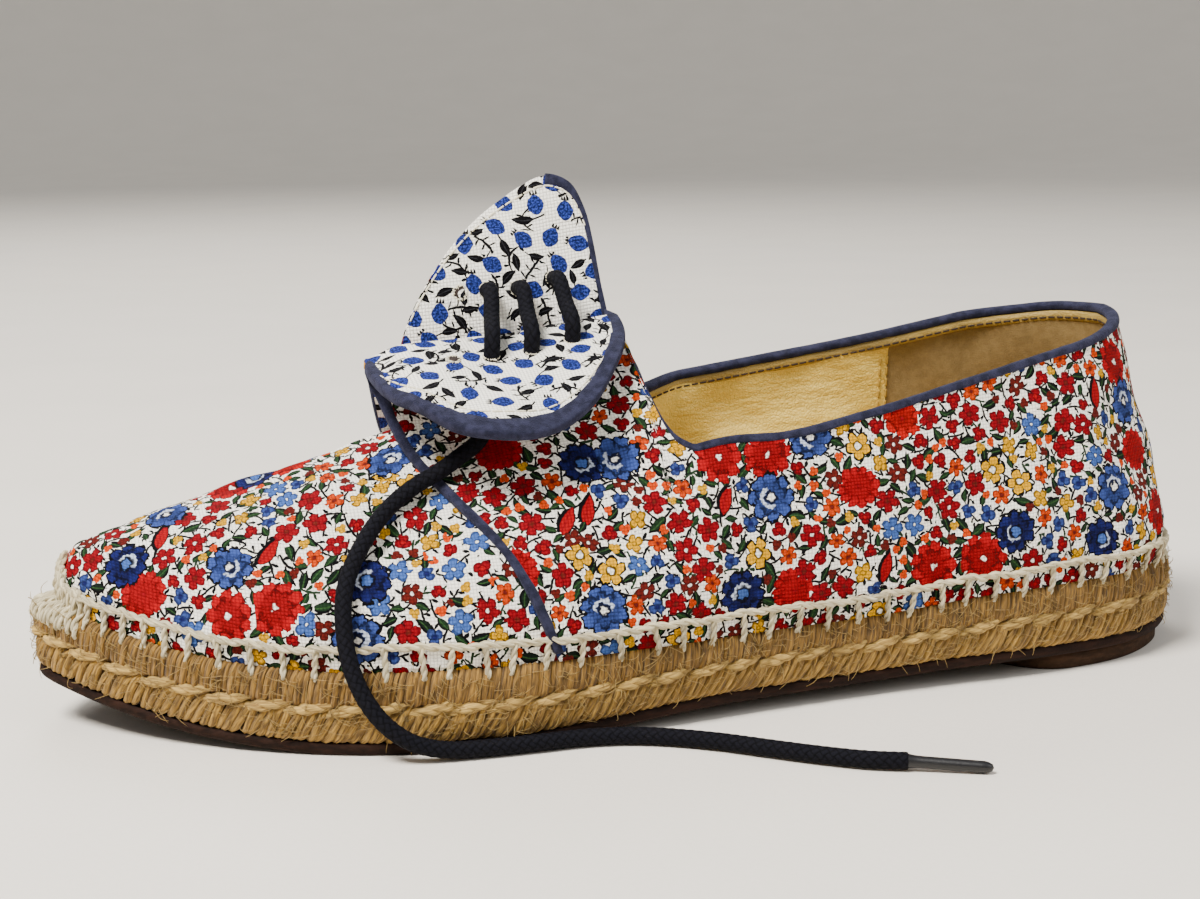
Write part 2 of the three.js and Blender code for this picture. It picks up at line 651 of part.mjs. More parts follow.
function tube(points, diameter, steps) {
  const section = new THREE.Shape();
  range(SIDES).slice(0, -1).forEach((f, i) => {
    const [a, b] = [Math.cos(f * 2 * Math.PI), Math.sin(f * 2 * Math.PI)].map((v) => v * diameter / 2);
    if (i === 0) section.moveTo(a, b);
    else section.lineTo(a, b);
  });
  const path = new THREE.CatmullRomCurve3(points, false, 'centripetal');
  const extruded = new THREE.ExtrudeGeometry(section, { steps, bevelEnabled: false, extrudePath: path });
  extruded.deleteAttribute('normal');
  extruded.deleteAttribute('uv');
  const merged = mergeVertices(extruded, 1e-4);
  merged.computeVertexNormals();
  return merged;
}

// Where a lace leaves a lapel, on its lining (face 1) or its outer side (face -1).
function lapelHole(sideName, row, face, clearance) {
  const side = sideName === 'lateral' ? 1 : -1;
  const s = side > 0 ? row.lateralS : row.medialS;
  const reach = side > 0 ? row.reachL : row.reachM;
  const { at, facing } = lapelPoint(LAPELS[sideName], side, s, reach);
  return at.addScaledVector(facing, face * (LAPEL_THICKNESS / 2 + clearance));
}

const HOLE_STEP = 0.01; // up the section, to find which way the quarter faces

// Where a lace meets the outside of the quarter below the lapel.
function quarterHole(side, row, clearance) {
  const s = side > 0 ? row.lateralS : row.medialS;
  const at = quarterPoint(s, side, row.hole);
  const along = quarterPoint(s + 1, side, row.hole).sub(at);
  const up = quarterPoint(s, side, row.hole + HOLE_STEP).sub(at);
  const out = along.cross(up).normalize().multiplyScalar(-side);
  if (out.z < 0) out.negate();
  return at.addScaledVector(out, LAP + clearance);
}

// A bar of lace across the fold, from one lapel's lining to the other's.
function laceBar(row) {
  const ends = ['medial', 'lateral'].map((name) => lapelHole(name, row, 1, LACE_EASE));
  const bends = ['medial', 'lateral'].map((name) => lapelHole(name, row, 1, LACE));
  const across = new THREE.Vector3().subVectors(bends[1], bends[0]).normalize();
  bends[0].addScaledVector(across, LACE * LACE_TUCK);
  bends[1].addScaledVector(across, -LACE * LACE_TUCK);
  return tube([ends[0], bends[0], bends[1], ends[1]], LACE, LACE_STEPS.bar);
}

// A strand on a lapel's outer side, from its hole down to the quarter's hole.
function laceStrand(sideName, row) {
  const side = sideName === 'lateral' ? 1 : -1;
  return tube([
    lapelHole(sideName, row, -1, LACE_EASE),
    lapelHole(sideName, row, -1, LACE * LACE_STAND),
    quarterHole(side, row, LACE * LACE_STAND),
    quarterHole(side, row, LACE_EASE),
  ], LACE, LACE_STEPS.strand);
}

function laceEnd() {
  return tube(LACE_END.map(({ s, y, z }) => point(s, y, z)), LACE, LACE_STEPS.end);
}

// The plain dark tip, carrying on from the end of the lace and lying down on the floor.
function aglet() {
  const [before, end] = LACE_END.slice(-2).map(({ s, y, z }) => point(s, y, z));
  const along = new THREE.Vector3().subVectors(end, before).normalize();
  const start = end.clone().addScaledVector(along, AGLET_GAP);
  const tip = start.clone().addScaledVector(along, AGLET_LENGTH);
  tip.z = AGLET / 2 + AGLET_REST;
  return tube([start, tip], AGLET, LACE_STEPS.aglet);
}

// ---------------------------------------------------------------- assembly

const FINISH = {
  outsole: { color: 0x3c2420, roughness: 0.7 },
  lift: { color: 0x6e5037, roughness: 0.75 },
  straw: { color: 0xc8a878, roughness: 0.95 },
  jute: { color: 0xb08f5c, roughness: 0.95 },
  leather: { color: 0xc9ab62, roughness: 0.6 },
  canvas: { color: 0xe6dfd2, roughness: 0.9 },
  lining: { color: 0xebe8d7, roughness: 0.9 },
  lace: { color: 0x232632, roughness: 0.85 },
  aglet: { color: 0x1b1c20, roughness: 0.4 },
};

const shoe = new THREE.Group();

function add(name, geometry, finish) {
  const mesh = new THREE.Mesh(geometry, new THREE.MeshStandardMaterial({ ...finish, metalness: 0 }));
  mesh.name = name;
  shoe.add(mesh);
}

add('outsole', outsole(), FINISH.outsole);
add('heel_lift', heelLift(), FINISH.lift);
add('jute_bottom_course', juteCourse('jute_bottom_course'), FINISH.straw);
add('jute_top_course', juteCourse('jute_top_course'), FINISH.jute);
add('insole', insole(), FINISH.leather);
add('upper', join(quarters(), vamp()), FINISH.canvas);
Object.entries(LAPELS).forEach(([name, lapel]) => {
  add(`lapel_${name}`, lapelSheet(lapel, name === 'lateral' ? 1 : -1), FINISH.lining);
});
const lacedRows = LACE_ROWS.slice(1);
lacedRows.forEach((row, i) => {
  add(`lace_bar_${i + 1}`, laceBar(row), FINISH.lace);
  add(`lace_strand_medial_${i + 1}`, laceStrand('medial', row), FINISH.lace);
});
lacedRows.slice(1).forEach((row, i) => {
  add(`lace_strand_lateral_${i + 2}`, laceStrand('lateral', row), FINISH.lace);
});
add('lace_end', laceEnd(), FINISH.lace);
add('lace_aglet', aglet(), FINISH.aglet);

export default shoe;
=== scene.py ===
"""Looks of a left lace-up canvas espadrille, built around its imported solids.

Lengths in the tables are millimetres in the shoe's own sizes: s is the station in front of the back
of the heel, y the lateral side and z up. make_mesh turns them into the frame's metres.
"""
import math
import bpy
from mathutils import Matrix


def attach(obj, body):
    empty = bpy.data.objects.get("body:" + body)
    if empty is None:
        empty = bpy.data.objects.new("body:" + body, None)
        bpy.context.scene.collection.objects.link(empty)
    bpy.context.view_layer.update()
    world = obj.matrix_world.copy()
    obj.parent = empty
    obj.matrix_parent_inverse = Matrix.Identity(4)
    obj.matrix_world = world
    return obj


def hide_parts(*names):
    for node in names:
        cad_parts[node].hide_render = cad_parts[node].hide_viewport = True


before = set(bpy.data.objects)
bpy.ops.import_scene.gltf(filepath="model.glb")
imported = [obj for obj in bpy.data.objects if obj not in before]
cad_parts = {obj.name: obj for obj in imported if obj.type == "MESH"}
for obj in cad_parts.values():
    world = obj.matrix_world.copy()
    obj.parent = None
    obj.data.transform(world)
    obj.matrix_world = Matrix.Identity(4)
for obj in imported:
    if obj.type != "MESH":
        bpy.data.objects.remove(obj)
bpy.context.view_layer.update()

from types import SimpleNamespace

import bpy
import numpy as np
from mathutils import Matrix, Vector
from mathutils.bvhtree import BVHTree

MM = 0.001
rng = np.random.default_rng(7)

# ------------------------------------------------------------------ driving dimensions and tables


def table(columns, rows):
    """A table of numbers with named columns."""
    values = np.array(rows, float).T
    return dict(zip(columns.split(), values))


LENGTH = 266
HEEL_CENTRE = 30
OUTSOLE = 2.5
GAP = 0.3
WALL = 2
LAP = 1
FEATHER = 2
FEATHER_END = 4
END_ZONE = 16
FAN_CENTRE = 40
CORNER = 131
THROAT_START = 138.6
BLEND_START = 112
SLIT = 1.2
VAMP_BACK = 150
NOSE_BACK = 254
FIN_START = 0.68
FIN_POWER = 2.2
FOLD_RADIUS = 2.2
FULL_LEAN = 15
LACE = 3.6
LIFT_FRONT = 54
LIFT_CORNER = 14
LIFT_INSET = 2.4
LIFT_NARROWING = 0.5
LIFT_FRONT_HALF = 21
LIFT_BOW = 2

# the sole's outline: how far it lies from the middle line on either side
PLAN = table("s lateral medial", [
    (0, 0, 0), (3, 13.3, 12), (10, 23.1, 21), (25, 32.6, 28), (50, 37, 29.5), (80, 38, 28),
    (110, 40.2, 29), (140, 43.9, 34), (165, 45.8, 40.5), (185, 45.3, 44), (205, 40.6, 43),
    (225, 31.4, 37), (245, 17.8, 27.5), (258, 6, 18), (264.6, -1.5, 10.2), (LENGTH, -5.6, 5.6),
])
# the height of the outsole's underside, and of the jute itself
PROFILE = table("s ground jute", [
    (0, 4.3, 14.3), (30, 4, 14.2), (62, 4, 13.3), (95, 3.3, 12), (130, 3, 12), (155, 1.4, 13.4),
    (175, 0, 14.2), (208, 0, 14.2), (225, 1, 14.2), (240, 3.2, 14.2), (254, 6.6, 14.2),
    (LENGTH, 10.6, 14.2),
])
# the two courses' sections: shares of the jute's height, and how far each is drawn in
BOTTOM_COURSE = table("up inset", [(0, 0.9), (0.14, 0.1), (0.32, 0), (0.48, 1.3)])
TOP_COURSE = table("up inset", [(0.52, 1.3), (0.66, 0), (0.86, 0.3), (1, 1.2)])
# the last in front of the collar: its ridge, and the curve of its sides from foot to ridge
LAST = table("s ridge_y ridge_z rise lean crown sag", [
    (112, 0, 86, 0.41, 3.7, 0.6, 0.07), (131, 0, 82, 0.41, 3.7, 0.58, 0.08),
    (138, 0, 79, 0.41, 3.6, 0.53, 0.09), (150, 0, 74, 0.41, 3.3, 0.48, 0.1),
    (165, 0, 69, 0.42, 3, 0.47, 0.1), (185, -0.3, 60.4, 0.42, 2.5, 0.45, 0.08),
    (200, -1.2, 55.5, 0.45, 2.2, 0.48, 0.06), (215, -2.3, 50.8, 0.48, 2, 0.52, 0.04),
    (230, -3.2, 46.6, 0.52, 1.6, 0.54, 0.03), (245, -4.2, 42, 0.55, 1.2, 0.56, 0.02),
    (254, -4.9, 38.2, 0.56, 0.8, 0.56, 0.01), (LENGTH, -5.6, 33, 0.57, 0.4, 0.56, 0),
])
# the quarters behind it: how far out and how high their tops are, and the curve of their sides
HEEL = table("angle out_l out_m top_l top_m rise lean push drop", [
    (0, 24.5, 24.5, 78.2, 78.2, 14, 2.2, 6, 24), (30, 23.8, 23.8, 76.8, 77.8, 14, 2.4, 5.5, 24),
    (60, 23.3, 22.9, 74.4, 76.4, 14, 2.5, 5.2, 23), (90, 25, 24, 72.4, 74.9, 14, 2.5, 5, 22),
])
COLLAR = table("s out_l out_m top_l top_m rise lean push drop", [
    (40, 25, 24, 72.4, 74.9, 14, 2.5, 5, 22), (66, 28.5, 27.5, 67, 69.8, 13, 2.5, 4.5, 18),
    (92, 31, 29, 61.6, 66, 13, 2.5, 4, 14), (112, 31.8, 28, 58.4, 63.6, 13, 3, 3.5, 12),
    (CORNER, 31, 24.5, 57.8, 61.8, 13, 3, 3, 12),
])
# the share of the last's side at which the quarters end below the throat
THROAT = table("s cut_l cut_m", [
    (CORNER, 0.485, 0.525), (134, 0.52, 0.565), (136, 0.58, 0.63), (137.3, 0.68, 0.72),
    (138, 0.8, 0.84), (138.3, 0.92, 0.93), (THROAT_START, 1, 1),
])
# the quarters' front edge up the last's side, and the fold of the lapels over the instep
FRONT_EDGE = table("up s", [(0, 165), (0.3, 172.6), (0.6, 183.4), (0.8, 189), (1, 193.6)])
FOLD = table("s z", [
    (131, 81.4), (138, 81), (150, 79.6), (162, 77.9), (175, 77.1), (187, 76.4), (194, 73.8),
])
# each lapel's rim as stations and distances from the fold, where it starts off the fold in (y, z), and
# the angles at which it leaves the fold and ends
LAPELS = {
    "lateral": {
        "side": 1,
        "rim": table("s reach", [
            (138.6, 0), (139.6, 9), (142.6, 17), (146.6, 24), (152.6, 32), (161.5, 37.8),
            (170.4, 39.4), (178.6, 37.6), (185.6, 31.6), (191.6, 21.6), (195, 11.5), (195.4, 0),
        ]),
        "base": (1.7, 0.6),
        "turn": (-12, -34),
    },
    "medial": {
        "side": -1,
        "rim": table("s reach", [
            (139.6, 0), (140.6, 7.4), (141.4, 16.7), (142.6, 25.1), (145.2, 31.2), (150.4, 33.9),
            (157, 32.5), (165, 28.2), (173, 21.4), (180, 12.6), (184.4, 5.1), (186.4, 0),
        ]),
        "base": (-1.7, 0.1),
        "turn": (78, 62),
    },
}
LAPEL_REACH = 40
# the holes from front to back: stations, and distances from the fold
LACE_ROWS = table("lateral_s medial_s lateral_reach medial_reach", [
    (177.9, 172.4, 11, 10.6), (169.9, 166.4, 11.6, 10.6), (161, 159.4, 11.4, 10.2),
    (151.6, 151.2, 10.4, 10.8),
])
QUARTER_HOLE = 0.76
LACE_END = [
    (170, 12.6, 71.4), (170.5, 13.9, 68), (171.4, 16.2, 64.6), (173, 18.8, 61.4), (175.6, 20.9, 58.8),
    (179.4, 22.2, 56.6), (184.4, 23.4, 53.8), (189.4, 23.9, 51.4), (194, 25.2, 48.6), (198, 27.6, 45.6),
    (201.6, 30.4, 42), (204.6, 33, 38), (206.6, 35.4, 34.2), (207.6, 37.6, 30), (207.8, 39.8, 24.6),
    (207.4, 41.4, 20.6), (206.4, 43.2, 16.6), (204.4, 45, 12.2), (201, 46.6, 7.8), (196, 47.6, 4.2),
    (189.6, 48.2, 2.4), (181, 48.6, 2), (171, 48.8, 2), (161, 48.8, 2), (152, 50.6, 2), (144, 54.4, 2),
    (136, 60, 2), (128.6, 66.6, 2), (120.6, 73.6, 2), (112.6, 79.6, 2), (105.6, 83, 2),
]
AGLET = 2.4
AGLET_LENGTH = 16

# ------------------------------------------------------------------ camera, stage and light

CAMERA_AT = (0.2435, 0.4212, 0.1343)
CAMERA_LOOK = (-0.293, -0.938, -0.184)
CAMERA_ROLL = -0.6
LENS = 60.06


def make_camera():
    data = bpy.data.cameras.new("camera")
    data.lens = LENS
    data.sensor_width = 36
    data.clip_start = 0.01
    data.clip_end = 100
    camera = bpy.data.objects.new("camera", data)
    bpy.context.scene.collection.objects.link(camera)
    look = Vector(CAMERA_LOOK).normalized()
    right = look.cross(Vector((0, 0, 1))).normalized()
    up = right.cross(look)
    roll = math.radians(CAMERA_ROLL)
    across = right * math.cos(roll) + up * math.sin(roll)
    above = up * math.cos(roll) - right * math.sin(roll)
    turn = Matrix((across, above, -look)).transposed()
    camera.matrix_world = Matrix.Translation(CAMERA_AT) @ turn.to_4x4()
    bpy.context.scene.camera = camera


make_camera()

# ------------------------------------------------------------------ numbers and curves


def read(rows, key, x, column):
    """A value read off a table at x, smooth and without overshoot between its rows."""
    xs, ys = rows[key], rows[column]
    step = np.diff(xs)
    slope = np.diff(ys) / step
    tangent = np.concatenate([slope[:1], np.zeros(len(slope) - 1), slope[-1:]])
    before, after = slope[:-1], slope[1:]
    left, right = step[:-1], step[1:]
    same = before * after > 0
    near, far = 2 * right + left, right + 2 * left
    with np.errstate(divide="ignore", invalid="ignore"):
        inner = (near + far) / (near / before + far / after)
    tangent[1:-1] = np.where(same, inner, 0)
    x = np.asarray(x, float)
    i = np.clip(np.searchsorted(xs, x, side="right") - 1, 0, len(step) - 1)
    t = np.clip((x - xs[i]) / step[i], 0, 1)
    return (
        (2 * t**3 - 3 * t**2 + 1) * ys[i]
        + (t**3 - 2 * t**2 + t) * step[i] * tangent[i]
        + (3 * t**2 - 2 * t**3) * ys[i + 1]
        + (t**3 - t**2) * step[i] * tangent[i + 1]
    )


def catmull(points, steps, closed=False):
    """A centripetal Catmull-Rom curve through points, with steps segments between each two."""
    p = np.asarray(points, float)
    if closed:
        p = np.concatenate([p[-1:], p, p[:2]])
    else:
        p = np.concatenate([2 * p[:1] - p[1:2], p, 2 * p[-1:] - p[-2:-1]])
    out = []
    for a, b, c, d in zip(p, p[1:], p[2:], p[3:]):
        knots = np.cumsum([0] + [max(np.linalg.norm(v) ** 0.5, 1e-6) for v in (b - a, c - b, d - c)])
        t = np.linspace(knots[1], knots[2], steps, endpoint=False)[:, None]
        ab = a + (b - a) * (t - knots[0]) / (knots[1] - knots[0])
        bc = b + (c - b) * (t - knots[1]) / (knots[2] - knots[1])
        cd = c + (d - c) * (t - knots[2]) / (knots[3] - knots[2])
        abc = ab + (bc - ab) * (t - knots[0]) / (knots[2] - knots[0])
        bcd = bc + (cd - bc) * (t - knots[1]) / (knots[3] - knots[1])
        out.append(abc + (bcd - abc) * (t - knots[1]) / (knots[2] - knots[1]))
    if not closed:
        out.append(p[-2:-1])
    return np.concatenate(out)


def lengths(path):
    return np.concatenate([[0], np.cumsum(np.linalg.norm(np.diff(path, axis=0), axis=1))])


def lengths_across(grid):
    step = np.linalg.norm(np.diff(grid, axis=1), axis=-1)
    return np.concatenate([np.zeros((len(grid), 1)), np.cumsum(step, 1)], 1)


def read_along(at, along, values):
    """Rows of values that are given at lengths along a path, read off at other lengths."""
    return np.column_stack([np.interp(at, along, column) for column in values.T])


def resample(path, spacing, *others):
    """path, and anything else given along it, at an even spacing."""
    along = lengths(path)
    count = max(2, round(along[-1] / spacing) + 1)
    at = np.linspace(0, along[-1], count)
    picked = [read_along(at, along, values) for values in (path, *others)]
    return picked if others else picked[0]


def unit(v):
    return v / np.maximum(np.linalg.norm(v, axis=-1, keepdims=True), 1e-9)


def smoothed(values, times, closed=False):
    """values along a path, each averaged with its neighbours a number of times."""
    for _ in range(times):
        before, after = np.roll(values, 1, 0), np.roll(values, -1, 0)
        mean = (before + 2 * values + after) / 4
        if not closed:
            mean[0], mean[-1] = values[0], values[-1]
        values = mean
    return values


def smoothstep(x, low, high):
    t = np.clip((x - low) / (high - low), 0, 1)
    return t * t * (3 - 2 * t)


def ground(s):
    return read(PROFILE, "s", s, "ground")


def jute(s):
    return read(PROFILE, "s", s, "jute")


def jute_top(s):
    return ground(s) + OUTSOLE + jute(s)


def fold_z(s):
    return read(FOLD, "s", s, "z")


PLAN_STEPS = 24
PLAN_CORNERS = np.concatenate([
    np.column_stack([PLAN["s"], PLAN["lateral"]]),
    np.column_stack([PLAN["s"], -PLAN["medial"]])[1:-1][::-1],
])
RIM = catmull(PLAN_CORNERS, PLAN_STEPS, closed=True)


def outwards(line):
    """Unit vectors that point out of a closed plan line."""
    along = np.roll(line, -1, 0) - np.roll(line, 1, 0)
    return unit(np.column_stack([-along[:, 1], along[:, 0]]))


def inset(line, distance):
    return line - outwards(line) * np.reshape(distance, (-1, 1))


def end_narrowing(s):
    to_end = np.minimum(s, LENGTH - s) / END_ZONE
    return FEATHER_END * np.maximum(0, 1 - to_end) ** 2


FEATHER_LINE = inset(RIM, FEATHER + end_narrowing(RIM[:, 0]))
TIP = int(np.argmax(FEATHER_LINE[:, 0]))
TOE_TIP = FEATHER_LINE[TIP, 0] - 0.05
LATERAL_EDGE = FEATHER_LINE[: TIP + 1]
MEDIAL_EDGE = np.concatenate([FEATHER_LINE[TIP:], FEATHER_LINE[:1]])[::-1]


def edge_y(s, side):
    edge = LATERAL_EDGE if side > 0 else MEDIAL_EDGE
    return np.interp(s, edge[:, 0], edge[:, 1])


def reach_to_feather(s, ds, dy):
    """Distance from (s, 0) along a direction to the feather line."""
    a, b = FEATHER_LINE, np.roll(FEATHER_LINE, -1, 0)
    e = b - a
    cross = ds * e[:, 1] - dy * e[:, 0]
    cross = np.where(np.abs(cross) < 1e-12, 1e-12, cross)
    t = ((a[:, 0] - s) * e[:, 1] - a[:, 1] * e[:, 0]) / cross
    u = ((a[:, 0] - s) * dy - a[:, 1] * ds) / cross
    return t[(u >= 0) & (u <= 1)].max()


def bezier(foot, out, up, top, t):
    t = np.asarray(t, float)[..., None]
    return (1 - t) ** 3 * foot + 3 * (1 - t) ** 2 * t * out + 3 * (1 - t) * t**2 * up + t**3 * top


# ------------------------------------------------------------------ surfaces of the upper


def last_point(s, side, t):
    """The last's surface in front of the throat, from foot to ridge, for arrays of s and t."""
    s, t = np.broadcast_arrays(np.asarray(s, float), np.asarray(t, float))
    y = read(LAST, "s", s, "ridge_y")
    full = np.minimum(s, NOSE_BACK)
    closing = np.clip((s - NOSE_BACK) / (TOE_TIP - NOSE_BACK), 0, 1)
    height = (read(LAST, "s", full, "ridge_z") - jute_top(full) - GAP) * np.sqrt(1 - closing**2)
    width = np.maximum(0.01, side * (edge_y(s, side) - y))
    lean = read(LAST, "s", s, "lean") * np.minimum(1, width / FULL_LEAN)
    foot_z = jute_top(s) + GAP
    foot = np.stack([width, foot_z], -1)
    top = np.stack([0 * width, foot_z + height], -1)
    out = np.stack([width + lean, foot_z + read(LAST, "s", s, "rise") * height], -1)
    crown = read(LAST, "s", s, "crown") * width
    up = np.stack([crown, top[..., 1] - read(LAST, "s", s, "sag") * height], -1)
    curve = bezier(foot, out, up, top, t)
    return np.stack([s, y + side * curve[..., 0], curve[..., 1]], -1)


def quarter_point(s, side, t):
    """The quarters follow the last and then leave it, rising to the fold over the instep."""
    p = last_point(s, side, t)
    fin = np.maximum(0, (np.asarray(t) - FIN_START) / (1 - FIN_START)) ** FIN_POWER
    p[..., 2] += fin * (fold_z(p[..., 0]) - FOLD_RADIUS - read(LAST, "s", p[..., 0], "ridge_z"))
    return p


def collar_section(s, ds, dy, rows, key, value, side, t):
    """A section below the collar, out from the middle line of the shoe along a direction.

    Its shape is read off rows where their key has a value.
    """
    letter = "l" if side > 0 else "m"
    columns = ("out_" + letter, "top_" + letter, "rise", "lean", "push", "drop")
    out, top, rise, lean, push, drop = (float(read(rows, key, value, c)) for c in columns)
    reach = reach_to_feather(s, ds, dy)
    foot = jute_top(s + ds * reach) + GAP
    corners = ((reach, foot), (reach + lean, foot + rise), (out + push, top - drop), (out, top))
    curve = bezier(*map(np.array, corners), t)
    return np.column_stack([s + ds * curve[:, 0], dy * curve[:, 0], curve[:, 1]])


QUARTER_ROWS = 68
TENT_COLUMNS = 62
THROAT_COLUMNS = 18
SIDE_COLUMNS = 100
HEEL_COLUMNS = 52
RISE_STEPS = 40


def quarter_columns(side):
    """The quarter's columns from its front edge back to the heel, and where each lies on the cloth."""
    t = np.linspace(0, 1, QUARTER_ROWS + 1)
    cut = "cut_l" if side > 0 else "cut_m"
    points, cloth = [], []

    def add(column, station):
        points.append(column)
        cloth.append(np.column_stack([np.full(len(t), station), lengths(column)]))

    for f in np.linspace(1, 0, TENT_COLUMNS):
        s = THROAT_START + f * (read(FRONT_EDGE, "up", t, "s") - THROAT_START)
        points.append(quarter_point(s, side, t))
        up = quarter_point(s[:, None], side, t[:, None] * np.linspace(0, 1, RISE_STEPS))
        rise = np.linalg.norm(np.diff(up, axis=1), axis=-1).sum(1)
        cloth.append(np.column_stack([s, rise]))
    for f in np.linspace(1, 0, THROAT_COLUMNS)[1:]:
        s = CORNER + (THROAT_START - CORNER) * f**0.5
        add(quarter_point(s, side, t * read(THROAT, "s", s, cut)), s)
    for s in np.linspace(CORNER, FAN_CENTRE, SIDE_COLUMNS)[1:]:
        column = collar_section(s, 0, side, COLLAR, "s", s, side, t)
        blend = smoothstep(s, BLEND_START, CORNER)
        ahead = quarter_point(max(s, BLEND_START), side, t * THROAT[cut][0])
        ahead[:, 0] = s
        add(column + (ahead - column) * blend, s)
    for angle in np.linspace(90, 0, HEEL_COLUMNS)[1:]:
        turn = math.radians(angle)
        ds, dy = -math.cos(turn), side * math.sin(turn)
        column = collar_section(FAN_CENTRE, ds, dy, HEEL, "angle", angle, side, t)
        middle = QUARTER_ROWS // 2
        moved = np.linalg.norm(column[middle] - points[-1][middle])
        add(column, cloth[-1][0, 0] - moved)
    return np.array(points), np.array(cloth)


def grid_normals(grid):
    """Unit normals of a grid of points, level along its foot."""
    normal = np.cross(np.gradient(grid, axis=0), np.gradient(grid, axis=1))
    normal[:, 0, 2] = 0
    return unit(normal)


def lapel_point(lapel, s, reach):
    """A point on the middle of a lapel, and the direction its lining faces there."""
    side = lapel["side"]
    start, end = np.radians(lapel["turn"])
    rate = (end - start) / LAPEL_REACH
    angle = start + rate * reach
    out = (np.sin(angle) - np.sin(start)) / rate
    up = (np.cos(start) - np.cos(angle)) / rate
    base_y, base_z = lapel["base"]
    at = np.stack([s + 0 * reach, base_y + side * out, fold_z(s) + base_z + up], -1)
    facing = np.stack([0 * angle, -side * np.sin(angle), np.cos(angle)], -1)
    return at, facing


# ------------------------------------------------------------------ meshes


def to_frame(points):
    """Points at (s, y, z) in millimetres, as metres of the frame."""
    return (np.asarray(points, float) - [HEEL_CENTRE, 0, 0]) * MM


def to_shoe(points):
    """Points of the frame in metres, as millimetres at (s, y, z)."""
    return points / MM + [HEEL_CENTRE, 0, 0]


def make_mesh(name, verts, faces, materials, slot=None, node=None, index=None):
    """A smooth piece from points in millimetres at (s, y, z) and a list or array of faces.

    A piece with a slot belongs to the part. node is the solid whose place it takes, if any.
    """
    mesh = bpy.data.meshes.new(name)
    place = to_frame(verts).reshape(-1, 3)
    mesh.from_pydata(place.tolist(), [], [list(map(int, f)) for f in faces])
    for material in materials:
        mesh.materials.append(material)
    if index is not None:
        mesh.polygons.foreach_set("material_index", np.asarray(index, np.int32))
    mesh.polygons.foreach_set("use_smooth", np.full(len(mesh.polygons), True))
    mesh.update()
    piece = bpy.data.objects.new(name, mesh)
    bpy.context.scene.collection.objects.link(piece)
    if slot:
        face_outwards(piece)
        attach(piece, "root")
        if node:
            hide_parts(node)
    return piece


def fetch(items, key, width=1, kind=float):
    """A value of each of a mesh's items, with width numbers to an item."""
    values = np.empty(len(items) * width, kind)
    items.foreach_get(key, values)
    return values.reshape(-1, width) if width > 1 else values


def face_outwards(piece):
    """Turns a closed piece's faces outwards if they face in."""
    mesh = piece.data
    mesh.calc_loop_triangles()
    corners = fetch(mesh.loop_triangles, "vertices", 3, np.int64)
    a, b, c = fetch(mesh.vertices, "co", 3)[corners].transpose(1, 0, 2)
    if np.einsum("ij,ij->", a, np.cross(b, c)) < 0:
        mesh.flip_normals()


def attribute(piece, name, values, domain):
    """A vector or colour at each point, or at each corner of each face, in the mesh's own order."""
    kind, key = ("FLOAT_COLOR", "color") if values.shape[1] == 4 else ("FLOAT_VECTOR", "vector")
    layer = piece.data.attributes.new(name, kind, domain)
    layer.data.foreach_set(key, np.ascontiguousarray(values, np.float32).ravel())


def grid_faces(rows, columns, start=0, wrap_rows=False, wrap_columns=False, flip=False):
    """The quads of a grid of rows by columns points that starts at a vertex number."""
    number = start + np.arange(rows * columns).reshape(rows, columns)
    if wrap_rows:
        number = np.concatenate([number, number[:1]])
    if wrap_columns:
        number = np.concatenate([number, number[:, :1]], 1)
    a, b = number[:-1, :-1], number[1:, :-1]
    c, d = number[1:, 1:], number[:-1, 1:]
    order = (a, d, c, b) if flip else (a, b, c, d)
    return np.stack(order, -1).reshape(-1, 4)


class Parts:
    """Many small closed forms gathered into one mesh."""

    def __init__(self):
        self.verts, self.faces, self.notes, self.count = [], [], [], 0

    def add(self, verts, faces, note=None):
        verts = np.asarray(verts, float).reshape(-1, 3)
        self.verts.append(verts)
        self.faces.extend([[int(v) + self.count for v in f] for f in faces])
        self.notes.append(np.zeros((len(verts), 3)) if note is None else note)
        self.count += len(verts)

    def mesh(self, name, material, slot, node=None, fibre=False):
        piece = make_mesh(name, np.concatenate(self.verts), self.faces, [material], slot, node)
        if fibre:
            attribute(piece, "fibre", np.concatenate(self.notes), "POINT")
        return piece


def frames(path):
    """Tangents and two unit vectors across a path that turn as little as they can along it."""
    tangent = unit(np.gradient(path, axis=0))
    first = np.cross(tangent[0], [0.3, 0.2, 1])
    across = [first / np.linalg.norm(first)]
    for t in tangent[1:]:
        v = across[-1] - t * np.dot(across[-1], t)
        across.append(v / np.linalg.norm(v))
    across = np.array(across)
    return tangent, across, np.cross(tangent, across)


def close_ends(verts, faces, ends, size):
    """Fans that close a row of rings, each of size points, at a point beyond either end."""
    first, last, tail = len(verts), len(verts) + 1, len(verts) - size
    for i in range(size):
        j = (i + 1) % size
        faces.append([first, i, j])
        faces.append([last, tail + j, tail + i])
    return np.concatenate([verts, ends])


